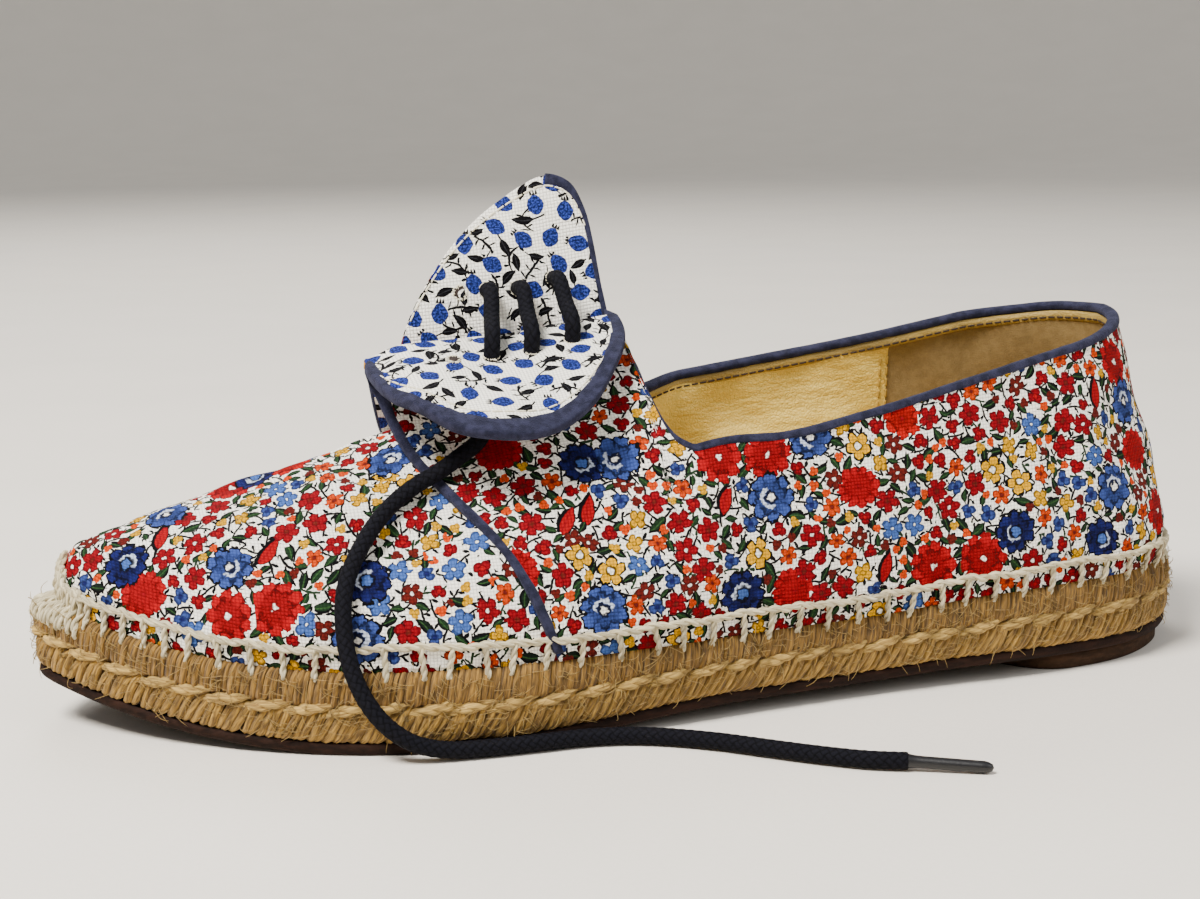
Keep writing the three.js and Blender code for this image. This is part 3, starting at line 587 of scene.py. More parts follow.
def tube(parts, path, radius, sides, seed=0.0, relief=None):
    """A closed tube along a path. Its note holds where each point lies: along, around and seed."""
    path = np.asarray(path, float)
    tangent, across, above = frames(path)
    along = lengths(path)
    radius = np.broadcast_to(np.asarray(radius, float), len(path)).copy()
    turn = np.linspace(0, 2 * np.pi, sides, endpoint=False)
    reach = radius[:, None] * np.ones(sides)
    if relief is not None:
        reach = reach + relief(along[:, None], turn[None, :])
    ring = (
        path[:, None]
        + across[:, None] * (reach * np.cos(turn))[..., None]
        + above[:, None] * (reach * np.sin(turn))[..., None]
    )
    faces = grid_faces(len(path), sides, wrap_columns=True).tolist()
    bulge = radius[[0, -1], None] * 0.5
    ends = np.stack([path[0] - tangent[0] * bulge[0], path[-1] + tangent[-1] * bulge[1]])
    verts = close_ends(ring.reshape(-1, 3), faces, ends, sides)
    where = np.broadcast_arrays(along[:, None], turn / (2 * np.pi), seed)
    notes = np.stack(where, -1).reshape(-1, 3)
    parts.add(verts, faces, np.concatenate([notes, [[0, 0, seed], [along[-1], 0, seed]]]))


STRAND_SIDES = 7
YARN_SHIFT = 0.24
YARN_RADIUS = 0.29


def wind(parts, path, along, shift, radius, pitch, seeds, phase=0.0):
    """Plies that wind round each other along a path, shift away from it, one for each seed."""
    _, across, above = frames(path)
    for k, seed in enumerate(seeds):
        turn = (2 * np.pi * (along / pitch + k / len(seeds)) + phase)[:, None]
        strand = path + (across * np.cos(turn) + above * np.sin(turn)) * shift
        tube(parts, strand, radius, STRAND_SIDES, seed=seed)


def twisted(parts, path, diameter, pitch, seed, phase=0.0):
    """A yarn of two plies along a path."""
    shift, radius = diameter * YARN_SHIFT, diameter * YARN_RADIUS
    wind(parts, path, lengths(path), shift, radius, pitch, (seed, seed + 0.37), phase)


def stack(loops):
    """Closed rings on each other, capped by ladders between their two sides."""
    rings, count = len(loops), len(loops[0])
    verts = np.concatenate(loops)
    faces = grid_faces(rings, count, wrap_columns=True, flip=True).tolist()
    half = count // 2
    top = (rings - 1) * count
    for i in range(half):
        a, b = i, i + 1
        c, d = (count - i - 1) % count, (count - i) % count
        low, high = [d, c, b, a], [top + a, top + b, top + c, top + d]
        if i == 0:
            low, high = [c, b, a], [top + a, top + b, top + c]
        if i == half - 1:
            low, high = [d, b, a], [top + a, top + b, top + d]
        faces.append(low)
        faces.append(high)
    return verts, faces


# ------------------------------------------------------------------ materials


def srgb(*values):
    """A linear colour from 0 to 255 display values."""
    c = np.array(values) / 255
    return tuple(np.where(c <= 0.04045, c / 12.92, ((c + 0.055) / 1.055) ** 2.4))


def joined(operation):
    """A method that puts a field and anything else through a math node."""
    return lambda field, *others: field.net.math(operation, field, *others)


class Field:
    """A number or colour that varies over a surface, with the usual arithmetic."""

    def __init__(self, net, socket):
        self.net, self.socket = net, socket

    __add__ = __radd__ = joined("ADD")
    __sub__ = joined("SUBTRACT")
    __mul__ = __rmul__ = joined("MULTIPLY")
    __truediv__ = joined("DIVIDE")
    __abs__ = joined("ABSOLUTE")
    sqrt = joined("SQRT")
    sine = joined("SINE")
    floor = joined("FLOOR")
    fract = joined("FRACT")
    power = joined("POWER")
    modulo = joined("FLOORED_MODULO")

    def __rsub__(self, other):
        return self.net.math("SUBTRACT", other, self)

    def over(self, low, high):
        """0 below low, 1 above high and smooth between. low may be the larger."""
        return self.net.step(self, low, high)


class Net:
    """The nodes of one material."""

    def __init__(self, name):
        self.material = bpy.data.materials.new(name)
        self.material.use_nodes = True
        self.tree = self.material.node_tree
        self.shader = next(n for n in self.tree.nodes if n.type == "BSDF_PRINCIPLED")

    def node(self, kind, inputs=(), **settings):
        node = self.tree.nodes.new(kind)
        for key, value in settings.items():
            setattr(node, key, value)
        for key, value in dict(inputs).items():
            self.put(node.inputs[key], value)
        return node

    def put(self, socket, value):
        if isinstance(value, Field):
            self.tree.links.new(value.socket, socket)
        elif isinstance(value, tuple) and len(value) == 3 and socket.type == "RGBA":
            socket.default_value = (*value, 1)
        else:
            socket.default_value = value

    def math(self, operation, *values):
        node = self.node("ShaderNodeMath", enumerate(values), operation=operation)
        return Field(self, node.outputs[0])

    def step(self, value, low, high):
        node = self.node(
            "ShaderNodeMapRange",
            {"Value": value, "From Min": low, "From Max": high},
            interpolation_type="SMOOTHSTEP",
        )
        return Field(self, node.outputs[0])

    def larger(self, a, b):
        return self.math("MAXIMUM", a, b)

    def smaller(self, a, b):
        return self.math("MINIMUM", a, b)

    def mix(self, amount, a, b):
        node = self.node("ShaderNodeMix", data_type="RGBA")
        self.put(node.inputs[0], amount)
        self.put(node.inputs[6], a)
        self.put(node.inputs[7], b)
        return Field(self, node.outputs[2])

    def tint(self, colour, amount):
        """A colour, darker or lighter by a factor."""
        node = self.node("ShaderNodeVectorMath", operation="SCALE")
        self.put(node.inputs[0], colour)
        self.put(node.inputs["Scale"], amount)
        return Field(self, node.outputs[0])

    def attribute(self, name, *outputs):
        """What an attribute of the mesh holds, as each of the outputs."""
        node = self.node("ShaderNodeAttribute", attribute_name=name)
        return [Field(self, node.outputs[key]) for key in outputs]

    def vector(self, name):
        return self.attribute(name, "Vector")[0]

    def split(self, vector):
        node = self.node("ShaderNodeSeparateXYZ", {0: vector})
        return [Field(self, o) for o in node.outputs]

    def join(self, x, y, z=0.0):
        node = self.node("ShaderNodeCombineXYZ", {0: x, 1: y, 2: z})
        return Field(self, node.outputs[0])

    def place(self):
        """Where a point lies in the frame, in millimetres."""
        node = self.node("ShaderNodeTexCoord")
        return self.tint(Field(self, node.outputs["Object"]), 1 / MM)

    def noise(self, where, size, detail=2.0, rough=0.5):
        """Smooth noise from 0 to 1, its lumps about size wide."""
        node = self.node(
            "ShaderNodeTexNoise",
            {"Vector": where, "Scale": 1 / size, "Detail": detail, "Roughness": rough},
        )
        return Field(self, node.outputs["Fac"])

    def cracks(self, where, size):
        """Distance to the nearest edge between cells about size wide."""
        cells = {"Vector": where, "Scale": 1 / size}
        node = self.node("ShaderNodeTexVoronoi", cells, feature="DISTANCE_TO_EDGE")
        return Field(self, node.outputs["Distance"])

    def stretch(self, vector, x, y, z=1.0):
        node = self.node("ShaderNodeVectorMath", {0: vector, 1: (x, y, z)}, operation="MULTIPLY")
        return Field(self, node.outputs[0])

    def finish(self, colour, height, depth, roughness, **sockets):
        """Joins colour and relief to the shader. depth is the relief's full height in millimetres."""
        self.put(self.shader.inputs["Base Color"], colour)
        self.put(self.shader.inputs["Roughness"], roughness)
        for key, value in sockets.items():
            self.put(self.shader.inputs[key.replace("_", " ")], value)
        bump = self.node("ShaderNodeBump", {"Height": height, "Distance": depth * MM, "Strength": 1.0})
        self.tree.links.new(bump.outputs[0], self.shader.inputs["Normal"])
        return self.material


THREAD = 0.74


def weave(net, cloth):
    """Height of a plain weave over the cloth, and how much each thread differs."""
    u, v, _ = net.split(cloth)
    u, v = u / THREAD, v / THREAD
    wobble = net.noise(cloth, 5.0, 1.0) * 0.5
    u, v = u + wobble, v - wobble
    over = (u.floor() + v.floor()).modulo(2.0)
    warp = (u * math.pi).sine()
    weft = (v * math.pi).sine()
    warp, weft = abs(warp).power(0.6), abs(weft).power(0.6)
    height = warp * over * 0.5 + weft * (1.0 - over) * 0.5 + warp * weft * 0.5
    slub = net.noise(net.stretch(cloth, 0.25, 2.0), 1.0, 1.0)
    return height, slub


def canvas_finish(net, colour, cloth):
    """Woven cotton with painted shade of the weave: the colour is darker in the weave's gaps and
    lighter on its tops.
    """
    height, slub = weave(net, cloth)
    # painted shade: the colour follows the weave's height, darker in its gaps and lighter on its tops;
    # the slub adds uneven threads
    shade = height * 0.5 + slub * 0.2 + 0.5
    fine = net.noise(cloth, 0.3, 2.0) * 0.3 + 0.85
    colour = net.tint(colour, shade * fine)
    relief = height * 0.7 + slub * 0.3
    return net.finish(colour, relief, 0.24, 0.92, Specular_IOR_Level=0.12)


PETAL_SCALE = 16


def motif(net, layer):
    """A layer's own coordinates, inks and form at a point."""
    x, y, size = net.split(net.vector(layer + "_at"))
    ink, petals = net.attribute(layer + "_ink", "Color", "Alpha")
    eye, eye_size = net.attribute(layer + "_eye", "Color", "Alpha")
    notch, line, inner = net.split(net.vector(layer + "_form"))
    return SimpleNamespace(
        x=x, y=y, size=size, ink=ink, petals=petals * PETAL_SCALE, eye=eye, eye_size=eye_size,
        notch=notch, line=line, inner=inner,
    )


OUTLINE = 0.5
OUTLINE_FADE = 0.22
BLACK_INK = srgb(4, 3, 6)
SKY_INK = srgb(196, 206, 226)
CANVAS_WHITE = srgb(253, 249, 238)


def flower_over(net, ground_colour, layer, hand):
    """Draws a layer's flowers over a ground. hand is the drawing's unevenness."""
    m = motif(net, layer)
    hx, hy, _ = hand
    x, y = m.x + hx * 0.34, m.y + hy * 0.34
    r = (x * x + y * y).sqrt()
    theta = net.math("ARCTAN2", y, x)
    turn = theta * m.petals / (2 * math.pi)
    across = abs(turn.fract() - 0.5) * 2.0
    edge = 1.0 - m.notch * across.power(2.6)
    deep = (edge - r) * m.size
    inside = deep.over(0.0, 0.1) * m.size.over(0.01, 0.02)
    # petals: a lighter outer part, a dark line between two and shaded shapes further in
    light = (r / edge).over(0.62, 0.72) * (r / edge).over(1.0, 0.9) * across.over(0.85, 0.5)
    between = across.over(0.78, 0.96) * r.over(0.25, 0.42)
    inner_across = abs((turn + 0.5).fract() - 0.5) * 2.0
    inner_edge = 0.66 - m.notch * 0.8 * inner_across.power(2.0)
    shade = (inner_edge - r).over(0.0, 0.08) * m.inner
    ring = (abs(r - inner_edge)).over(0.1, 0.04) * m.inner
    colour = net.mix(light * 0.4, m.ink, net.tint(m.ink, 1.45))
    colour = net.mix(shade * 0.6, colour, net.tint(m.ink, 0.42))
    blots = net.smaller(ring, (theta * 2.5 + 1.0).sine().over(-0.3, 0.3))
    colour = net.mix(blots * 0.9, colour, net.tint(m.ink, 0.1))
    colour = net.mix(between * 0.7, colour, net.tint(m.ink, 0.2))
    crescent = (abs(r - 0.36)).over(0.1, 0.05) * x.over(0.05, -0.1) * m.line.over(0.8, 0.95)
    colour = net.mix(crescent * m.inner * 0.9, colour, SKY_INK)
    eye = (m.eye_size - r).over(0.0, 0.06)
    eye_ring = (m.eye_size + 0.12 - r).over(0.0, 0.05) * m.line
    colour = net.mix(eye_ring * 0.85, colour, BLACK_INK)
    colour = net.mix(eye, colour, m.eye)
    outline = deep.over(OUTLINE + OUTLINE_FADE, OUTLINE) * m.line
    colour = net.mix(outline, colour, BLACK_INK)
    return net.mix(inside, ground_colour, colour)


def berry_over(net, ground_colour, layer, hand, cloth):
    """Draws a layer's berries: a speckled oval with a small black crown."""
    m = motif(net, layer)
    hx, hy, _ = hand
    x, y = m.x + hx * 0.2, m.y + hy * 0.2
    r = (x * x + y * y).sqrt()
    shown = m.size.over(0.01, 0.02)
    body = (r + abs(y).power(4.0) * 0.12 + abs(x) * abs(y) * 0.3).over(1.04, 0.97)
    specks = net.noise(cloth, 0.5, 1.0).over(0.42, 0.6)
    colour = net.mix(specks, net.tint(m.ink, 0.35), net.tint(m.ink, 1.5))
    colour = net.mix(r.over(0.7, 1.0) * 0.5, colour, net.tint(m.ink, 0.5))
    spike = abs((x / 0.34 + 0.5).fract() - 0.5) * 2.0
    crown = (1.42 - spike * 0.42 - y).over(0.0, 0.08) * y.over(0.86, 0.92) * abs(x).over(0.5, 0.46)
    dots = (abs(abs(x + hx * 0.3) - 0.3) + abs(y + 0.1) * 0.6).over(0.16, 0.1) * 0.6
    colour = net.mix(dots, colour, net.tint(m.ink, 0.25))
    flat = net.mix(body * shown, ground_colour, colour)
    return net.mix(crown * shown, flat, BLACK_INK)


def leaf_over(net, ground_colour, layer, hand):
    """Draws a layer's leaves and twigs over a ground."""
    m = motif(net, layer)
    hx, hy, _ = hand
    x, y = m.x + hx * 0.2, m.y + hy * 0.26
    shown = m.size.over(0.01, 0.02)
    twig = m.inner
    y = y - m.notch * x * x
    # a leaf with a stem behind it
    half = (1.0 - x * x) * (1.0 - x * 0.3)
    body = (half - abs(y)).over(0.0, 0.08)
    rim = (half - abs(y + 0.16)).over(0.42, 0.28)
    rib = abs(y).over(0.16, 0.06) * x.over(0.8, 0.6)
    stem = abs(y).over(0.26, 0.16) * x.over(-2.1, -1.9) * x.over(-0.7, -0.8)
    green = net.mix(rib * 0.8, m.ink, m.eye)
    green = net.mix(rim * m.line, green, BLACK_INK)
    leaf = net.mix(stem, green, BLACK_INK)
    leaf_mask = net.larger(body, stem) * (1.0 - twig)
    # a twig: a thin stem with small leaves by turns
    count = 3.0
    along = x * count
    turned = along.floor().modulo(2.0) * 2.0 - 1.0
    p = along.fract() - 0.5
    q = y * turned - 0.46
    a = (p + q) * 0.7
    b = (q - p) * 0.7
    small = ((a / 0.5) * (a / 0.5) + (b / 0.2) * (b / 0.2)).over(1.0, 0.75) * abs(x).over(1.0, 0.95)
    thin = abs(y).over(0.17, 0.1) * abs(x).over(1.05, 1.0)
    twig_mask = net.larger(small, thin) * twig
    colour = net.mix(twig, leaf, m.ink)
    return net.mix(net.larger(leaf_mask, twig_mask) * shown, ground_colour, colour)


HAND_SIZE = 1.1


def hand_noise(net, cloth):
    """The unevenness of a drawing by hand: how far it strays each way."""
    noise = net.node("ShaderNodeTexNoise", {"Vector": cloth, "Scale": 1 / HAND_SIZE, "Detail": 1.0})
    strayed = {0: Field(net, noise.outputs["Color"]), 1: (0.5, 0.5, 0.5)}
    centred = net.node("ShaderNodeVectorMath", strayed, operation="SUBTRACT")
    return net.split(Field(net, centred.outputs[0]))


def floral_canvas():
    net = Net("floral_canvas")
    cloth = net.vector("cloth")
    hand = hand_noise(net, cloth)
    colour = CANVAS_WHITE
    for layer in ("twigs", "leaves"):
        colour = leaf_over(net, colour, layer, hand)
    for layer in ("small", "big"):
        colour = flower_over(net, colour, layer, hand)
    return canvas_finish(net, colour, cloth)


def berry_canvas():
    net = Net("berry_canvas")
    cloth = net.vector("cloth")
    hand = hand_noise(net, cloth)
    colour = CANVAS_WHITE
    for layer in ("twigs", "leaves"):
        colour = leaf_over(net, colour, layer, hand)
    colour = berry_over(net, colour, "big", hand, cloth)
    return canvas_finish(net, colour, cloth)


def leather(name, colour, dark, roughness):
    """Soft lining leather with a fine crinkled grain and longer creases."""
    net = Net(name)
    at = net.place()
    cracks = net.cracks(at, 0.9).over(0.0, 0.25)
    pores = net.noise(at, 0.35, 2.0)
    long = net.noise(net.stretch(at, 0.3, 0.5, 0.9), 4.2, 3.0, 0.6)
    soft = net.noise(at, 18.0, 2.0)
    tone = net.mix(soft.over(0.3, 0.7), dark, colour)
    # painted shade: the colour darker in the grain's cracks and in the creases' hollows, over the soft
    # random tone
    tone = net.tint(tone, cracks * 0.12 + long * 0.25 + 0.78)
    relief = cracks * 0.12 + pores * 0.08 + long * 2.1
    return net.finish(tone, relief, 0.6, roughness, Specular_IOR_Level=0.45)


def suede(name, colour, dark, nap, sheen, depth):
    """Napped leather: a soft mottled pile with short loose fibres."""
    net = Net(name)
    at = net.place()
    pile = net.noise(at, nap, 3.0, 0.7)
    clumps = net.noise(at, nap * 5, 2.0)
    fibres = net.noise(net.stretch(at, 1.0, 1.0, 0.4), nap * 0.5, 2.0, 0.7)
    tone = net.mix(clumps.over(0.35, 0.65), dark, colour)
    tone = net.tint(tone, pile * 0.5 + fibres * 0.35 + 0.58)
    pale = tuple(min(1.0, c * 3 + 0.1) for c in colour)
    return net.finish(
        tone, pile + fibres * 0.6, depth, 0.95,
        Sheen_Weight=sheen, Sheen_Roughness=0.45, Sheen_Tint=pale, Specular_IOR_Level=0.15,
    )


def fibrous(name, pale, dark, fibre, twist=0.0, depth=0.35):
    """Bundled plant or cotton fibres that run along each strand."""
    net = Net(name)
    along, around, seed = net.split(net.vector("fibre"))
    at = net.join(along * 0.28, around * fibre + along * twist, seed * 31.0)
    coarse = net.noise(at, 1.0, 2.0, 0.6)
    fine = net.noise(net.stretch(at, 1.2, 3.2, 1.0), 1.0, 2.0, 0.7)
    blotch = net.noise(net.place(), 7.0, 2.0)
    pick = (seed * 7.31).fract()
    tone = net.mix((coarse * 0.7 + fine * 0.3).over(0.32, 0.66), dark, pale)
    tone = net.tint(tone, pick * 0.22 + blotch * 0.3 + 0.74)
    relief = coarse * 0.6 + fine * 0.5
    return net.finish(tone, relief, depth, 0.8, Specular_IOR_Level=0.3, Sheen_Weight=0.1)


def rubber(name, colour, dark):
    """Crepe-like sole rubber with a scuffed, slightly pitted skin."""
    net = Net(name)
    at = net.place()
    pits = net.noise(at, 0.8, 3.0, 0.65)
    scuffs = net.noise(net.stretch(at, 0.25, 1.0, 1.6), 2.2, 3.0, 0.6)
    tone = net.mix(scuffs.over(0.35, 0.7), dark, colour)
    tone = net.tint(tone, pits * 0.3 + 0.82)
    return net.finish(tone, pits * 0.6 + scuffs * 0.6, 0.25, 0.85, Specular_IOR_Level=0.12)


BRAID_STRANDS = 6
BRAID_PITCH = 1.9


def braid_material():
    """The lace's sheath: two sets of strands that cross over and under each other."""
    net = Net("lace_braid")
    along, around, _ = net.split(net.vector("fibre"))
    at = net.place()
    first = (along / BRAID_PITCH + around * BRAID_STRANDS) * math.pi
    second = (along / BRAID_PITCH - around * BRAID_STRANDS) * math.pi
    over = ((first / math.pi).floor() + (second / math.pi).floor()).modulo(2.0)
    strands = abs(first.sine()) * over + abs(second.sine()) * (1.0 - over)
    fuzz = net.noise(at, 0.25, 2.0, 0.7)
    # painted shade: the braid's valleys darker than the tops of its strands
    tone = net.mix(strands.over(0.1, 0.9), srgb(2, 2, 5), srgb(14, 14, 21))
    tone = net.tint(tone, fuzz * 0.7 + 0.65)
    return net.finish(tone, strands * 0.6 + fuzz * 0.5, 0.22, 0.8, Specular_IOR_Level=0.1)


def plain(name, colour, roughness, grain=0.5, depth=0.05):
    """A smooth small part: a little mottled and not quite even."""
    net = Net(name)
    spots = net.noise(net.place(), grain, 2.0)
    return net.finish(net.tint(colour, spots * 0.4 + 0.8), spots, depth, roughness)


FLORAL = floral_canvas()
BERRY = berry_canvas()
GOLD = leather("gold_leather", srgb(240, 208, 104), srgb(216, 182, 84), 0.4)
TAN_SUEDE = suede("tan_suede", srgb(134, 111, 70), srgb(124, 102, 63), 0.4, 0.05, 0.22)
TAPE = leather("edge_tape", srgb(180, 150, 74), srgb(148, 122, 60), 0.6)
BINDING = suede("navy_suede", srgb(44, 45, 66), srgb(28, 29, 46), 0.42, 0.25, 0.3)
YARN = fibrous("cream_yarn", srgb(224, 212, 176), srgb(158, 145, 114), fibre=7.0, twist=0.5)
STRAW = fibrous("jute_straw", srgb(184, 142, 62), srgb(84, 60, 26), fibre=12.0, depth=0.5)
ROUGH_JUTE = fibrous("jute_rough", srgb(160, 120, 52), srgb(66, 46, 22), fibre=9.0, depth=0.6)
ROPE = fibrous("jute_rope", srgb(206, 170, 92), srgb(122, 92, 44), fibre=11.0, twist=0.8, depth=0.5)
# the courses' dark insides: painted shade between the strands
CORE_SHADE = fibrous("jute_core_painted_shade", srgb(84, 62, 30), srgb(50, 36, 18), fibre=8.0)
RUBBER = rubber("outsole_rubber", srgb(44, 27, 20), srgb(27, 17, 13))
LIFT = rubber("lift_rubber", srgb(66, 46, 32), srgb(46, 32, 22))
LACE_MATERIAL = braid_material()
TIP_PLASTIC = plain("aglet_plastic", srgb(10, 9, 12), 0.4)
# the lace holes' dark middles: painted shade in the openings
HOLE_SHADE = plain("hole_painted_shade", srgb(38, 24, 18), 0.9, depth=0.2)
CREAM_THREAD = plain("cream_thread", srgb(232, 224, 200), 0.8, grain=0.4)
BROWN_THREAD = plain("brown_thread", srgb(44, 30, 20), 0.8, grain=0.4)
STRAW_THREAD = plain("straw_thread", srgb(160, 126, 44), 0.8, grain=0.4)

# ------------------------------------------------------------------ print: motifs laid on the cloth

LAYERS = ("big", "small", "leaves", "twigs")

BLUE = srgb(50, 68, 130)
DEEP_BLUE = srgb(20, 24, 78)
SKY = srgb(62, 92, 158)
RED = srgb(150, 0, 12)
SCARLET = srgb(164, 10, 6)
CRIMSON = srgb(128, 0, 16)
MAROON = srgb(92, 22, 16)
YELLOW = srgb(208, 152, 0)
ORANGE = srgb(190, 58, 0)
GREEN = srgb(24, 46, 26)
DARK_GREEN = srgb(14, 26, 18)
PALE_GREEN = srgb(48, 82, 40)
WHITE = srgb(246, 242, 232)
BERRY_BLUE = srgb(38, 52, 124)
DARK_VEIN = srgb(40, 40, 44)

# each kind's half width, petals, how deep they are cut, ink, eye, the eye's share of the half width,
# how strong its outline is and how strong its inner ring
FLOWERS = {
    "blue": (5.7, 8, 0.2, BLUE, WHITE, 0.17, 1.0, 1.0),
    "navy": (5.4, 9, 0.18, DEEP_BLUE, SKY, 0.24, 1.0, 1.0),
    "red": (5.8, 9, 0.18, RED, WHITE, 0.14, 0.35, 0.8),
    "red_ball": (5.2, 12, 0.12, RED, CRIMSON, 0.1, 0.25, 0.5),
    "scarlet": (4.8, 7, 0.24, SCARLET, CRIMSON, 0.15, 0.35, 0.8),
    "crimson": (2.9, 5, 0.36, CRIMSON, MAROON, 0.2, 0.5, 0.0),
    "white_eyed": (2.9, 5, 0.36, CRIMSON, WHITE, 0.18, 0.5, 0.2),
    "maroon": (2.4, 5, 0.4, MAROON, WHITE, 0.2, 0.45, 0.0),
    "yellow": (3.5, 5, 0.42, YELLOW, WHITE, 0.24, 1.0, 0.0),
    "small_yellow": (2.3, 4, 0.44, YELLOW, YELLOW, 0.2, 0.7, 0.0),
    "orange": (2.3, 5, 0.42, ORANGE, MAROON, 0.24, 0.5, 0.0),
    "sky": (2.8, 5, 0.4, SKY, WHITE, 0.14, 0.6, 0.0),
    "bud": (2.0, 3, 0.4, BLUE, DEEP_BLUE, 0.3, 0.6, 0.0),
    "red_bud": (1.9, 3, 0.36, CRIMSON, RED, 0.3, 0.5, 0.0),
    "dot": (1.2, 3, 0.3, ORANGE, ORANGE, 0.2, 0.0, 0.0),
    "red_dot": (1.3, 3, 0.3, MAROON, MAROON, 0.2, 0.2, 0.0),
    "yellow_dot": (1.3, 3, 0.35, YELLOW, YELLOW, 0.2, 0.3, 0.0),
}
BIG_MIX = (("blue", 4), ("red", 3), ("navy", 2), ("red_ball", 2), ("scarlet", 3))
SMALL_MIX = (
    ("crimson", 5), ("white_eyed", 2), ("maroon", 5), ("yellow", 4), ("small_yellow", 4),
    ("orange", 4), ("sky", 3), ("bud", 4), ("red_bud", 6),
)
DOT_MIX = (("dot", 3), ("red_dot", 3), ("yellow_dot", 4), ("small_yellow", 1), ("maroon", 1))


def flower(kind, at, normal, turn, scale=1.0):
    radius, petals, notch, ink, eye, eye_size, outline, inner = FLOWERS[kind]
    radius = radius * scale
    return dict(
        at=at, normal=normal, turn=turn, half=(radius, radius * rng.uniform(0.84, 1)), reach=radius,
        ink=(*ink, petals / PETAL_SCALE), eye=(*eye, eye_size), form=(notch, outline, inner),
    )


def leaf(at, normal, turn, long, wide, ink, vein, bend, outline=1.0, twig=0.0):
    return dict(
        at=at, normal=normal, turn=turn, half=(long, wide), reach=long,
        ink=(*ink, 0.0), eye=(*vein, 0.0), form=(bend, outline, twig),
    )


def flame(at, normal):
    """A closed red bud that points up, a shade darker down its middle."""
    return leaf(at, normal, rng.uniform(1.0, 2.1), 4.4, 1.9, RED, CRIMSON, rng.uniform(-0.2, 0.2))


def choose(mix):
    names, weights = zip(*mix)
    weights = np.array(weights, float)
    return names[rng.choice(len(names), p=weights / weights.sum())]


def room(new, others, ease):
    """Whether a motif fits among others, each kept apart by ease times their reaches."""
    if not others:
        return True
    places = np.array([m["at"] for m in others])
    reaches = np.array([m["reach"] for m in others])
    gaps = np.linalg.norm(places - new["at"], axis=1)
    return bool(np.all(gaps > ease * (reaches + new["reach"])))


def scatter(points, normals, tries, make, keep_from):
    """Throws motifs onto sample points. Those that fit join the first motifs of keep_from.

    keep_from lists (motifs, ease).
    """
    for _ in range(tries):
        k = int(rng.integers(len(points)))
        new = make(points[k], normals[k])
        if all(room(new, others, ease) for others, ease in keep_from):
            keep_from[0][0].append(new)


def any_turn():
    return rng.uniform(0, 2 * math.pi)


def any_flower(mix):
    return lambda at, normal: flower(choose(mix), at, normal, any_turn(), rng.uniform(0.88, 1.08))


def any_leaf(at, normal):
    ink = GREEN if rng.random() < 0.65 else DARK_GREEN
    long = rng.uniform(1.5, 2.7)
    turn = any_turn()
    return leaf(at, normal, turn, long, long * 0.46, ink, PALE_GREEN, rng.uniform(-0.5, 0.5))


def any_twig(at, normal):
    ink = BLACK_INK if rng.random() < 0.9 else GREEN
    turn, long, bend = any_turn(), rng.uniform(3.6, 5.2), rng.uniform(-0.9, 0.9)
    return leaf(at, normal, turn, long, 1.9, ink, ink, bend, twig=1.0)


OUTLINED = ("blue", "navy")
OPEN_SIDE = -3


def landmarks(points, normals, rows):
    """The listed flowers, each on the sample nearest to its station and height."""
    found = []
    for kind, s, z in rows:
        gap = np.hypot(points[:, 0] - s, points[:, 2] - z)
        gap = gap + np.where(points[:, 1] > OPEN_SIDE, 0, 50)
        k = int(gap.argmin())
        if gap[k] < 4:
            found.append((kind, points[k], normals[k]))
    return found


def floral(points, normals, rows=()):
    """A floral print over sample points: the listed flowers first, then the rest at random."""
    area = len(points)
    layers = {name: [] for name in LAYERS}
    big, small, leaves, twigs = layers.values()
    for kind, at, normal in landmarks(points, normals, rows):
        if kind == "flame":
            leaves.append(flame(at, normal))
        else:
            layer = big if kind in OUTLINED else small
            layer.append(flower(kind, at, normal, any_turn()))
    flames = list(leaves)
    open_side = points[:, 1] < OPEN_SIDE if rows else np.ones(area, bool)
    scatter(points[open_side], normals[open_side], area // 60, any_flower(BIG_MIX), [(big, 1.3)])
    near = [(small, 0.95), (big, 0.92), (flames, 0.8)]
    scatter(points, normals, area // 3, any_flower(SMALL_MIX), near)
    scatter(points, normals, area // 2, any_leaf, [(leaves, 0.56), (big, 0.82), (small, 0.7)])
    near = [(small, 0.92), (big, 0.9), (leaves, 0.34), (flames, 0.8)]
    scatter(points, normals, area // 2, any_flower(DOT_MIX), near)
    scatter(points, normals, area // 3, any_twig, [(twigs, 0.27), (big, 0.4)])
    return layers


def berry(at, normal):
    new = flower("blue", at, normal, rng.normal(1.0, 0.8))
    new.update(half=(1.95, 2.6), reach=2.6, ink=(*BERRY_BLUE, 0.0))
    return new


def dark_leaf(at, normal):
    long, turn = rng.uniform(1.8, 2.6), any_turn()
    bend = rng.uniform(-0.6, 0.6)
    return leaf(at, normal, turn, long, long * 0.42, BLACK_INK, DARK_VEIN, bend, outline=0.0)


def thin_stem(at, normal):
    turn, long, bend = any_turn(), rng.uniform(2.6, 3.6), rng.uniform(-0.9, 0.9)
    return leaf(at, normal, turn, long, 2.2, BLACK_INK, WHITE, bend, twig=1.0)


def berries(points, normals):
    """The lapels' lining print: berries between black leaves on thin stems."""
    layers = {name: [] for name in LAYERS}
    big, _, leaves, twigs = layers.values()
    scatter(points, normals, 2500, berry, [(big, 1.14)])
    scatter(points, normals, 3000, dark_leaf, [(leaves, 0.72), (big, 0.84)])
    scatter(points, normals, 900, thin_stem, [(twigs, 0.8), (big, 0.8)])
    return layers


HIDDEN = dict(
    at=(0, 0, -500), normal=(0, 0, 1), turn=0, half=(1, 1), reach=0.01, ink=(0, 0, 0, 0),
    eye=(0, 0, 0, 0), form=(0, 0, 0),
)


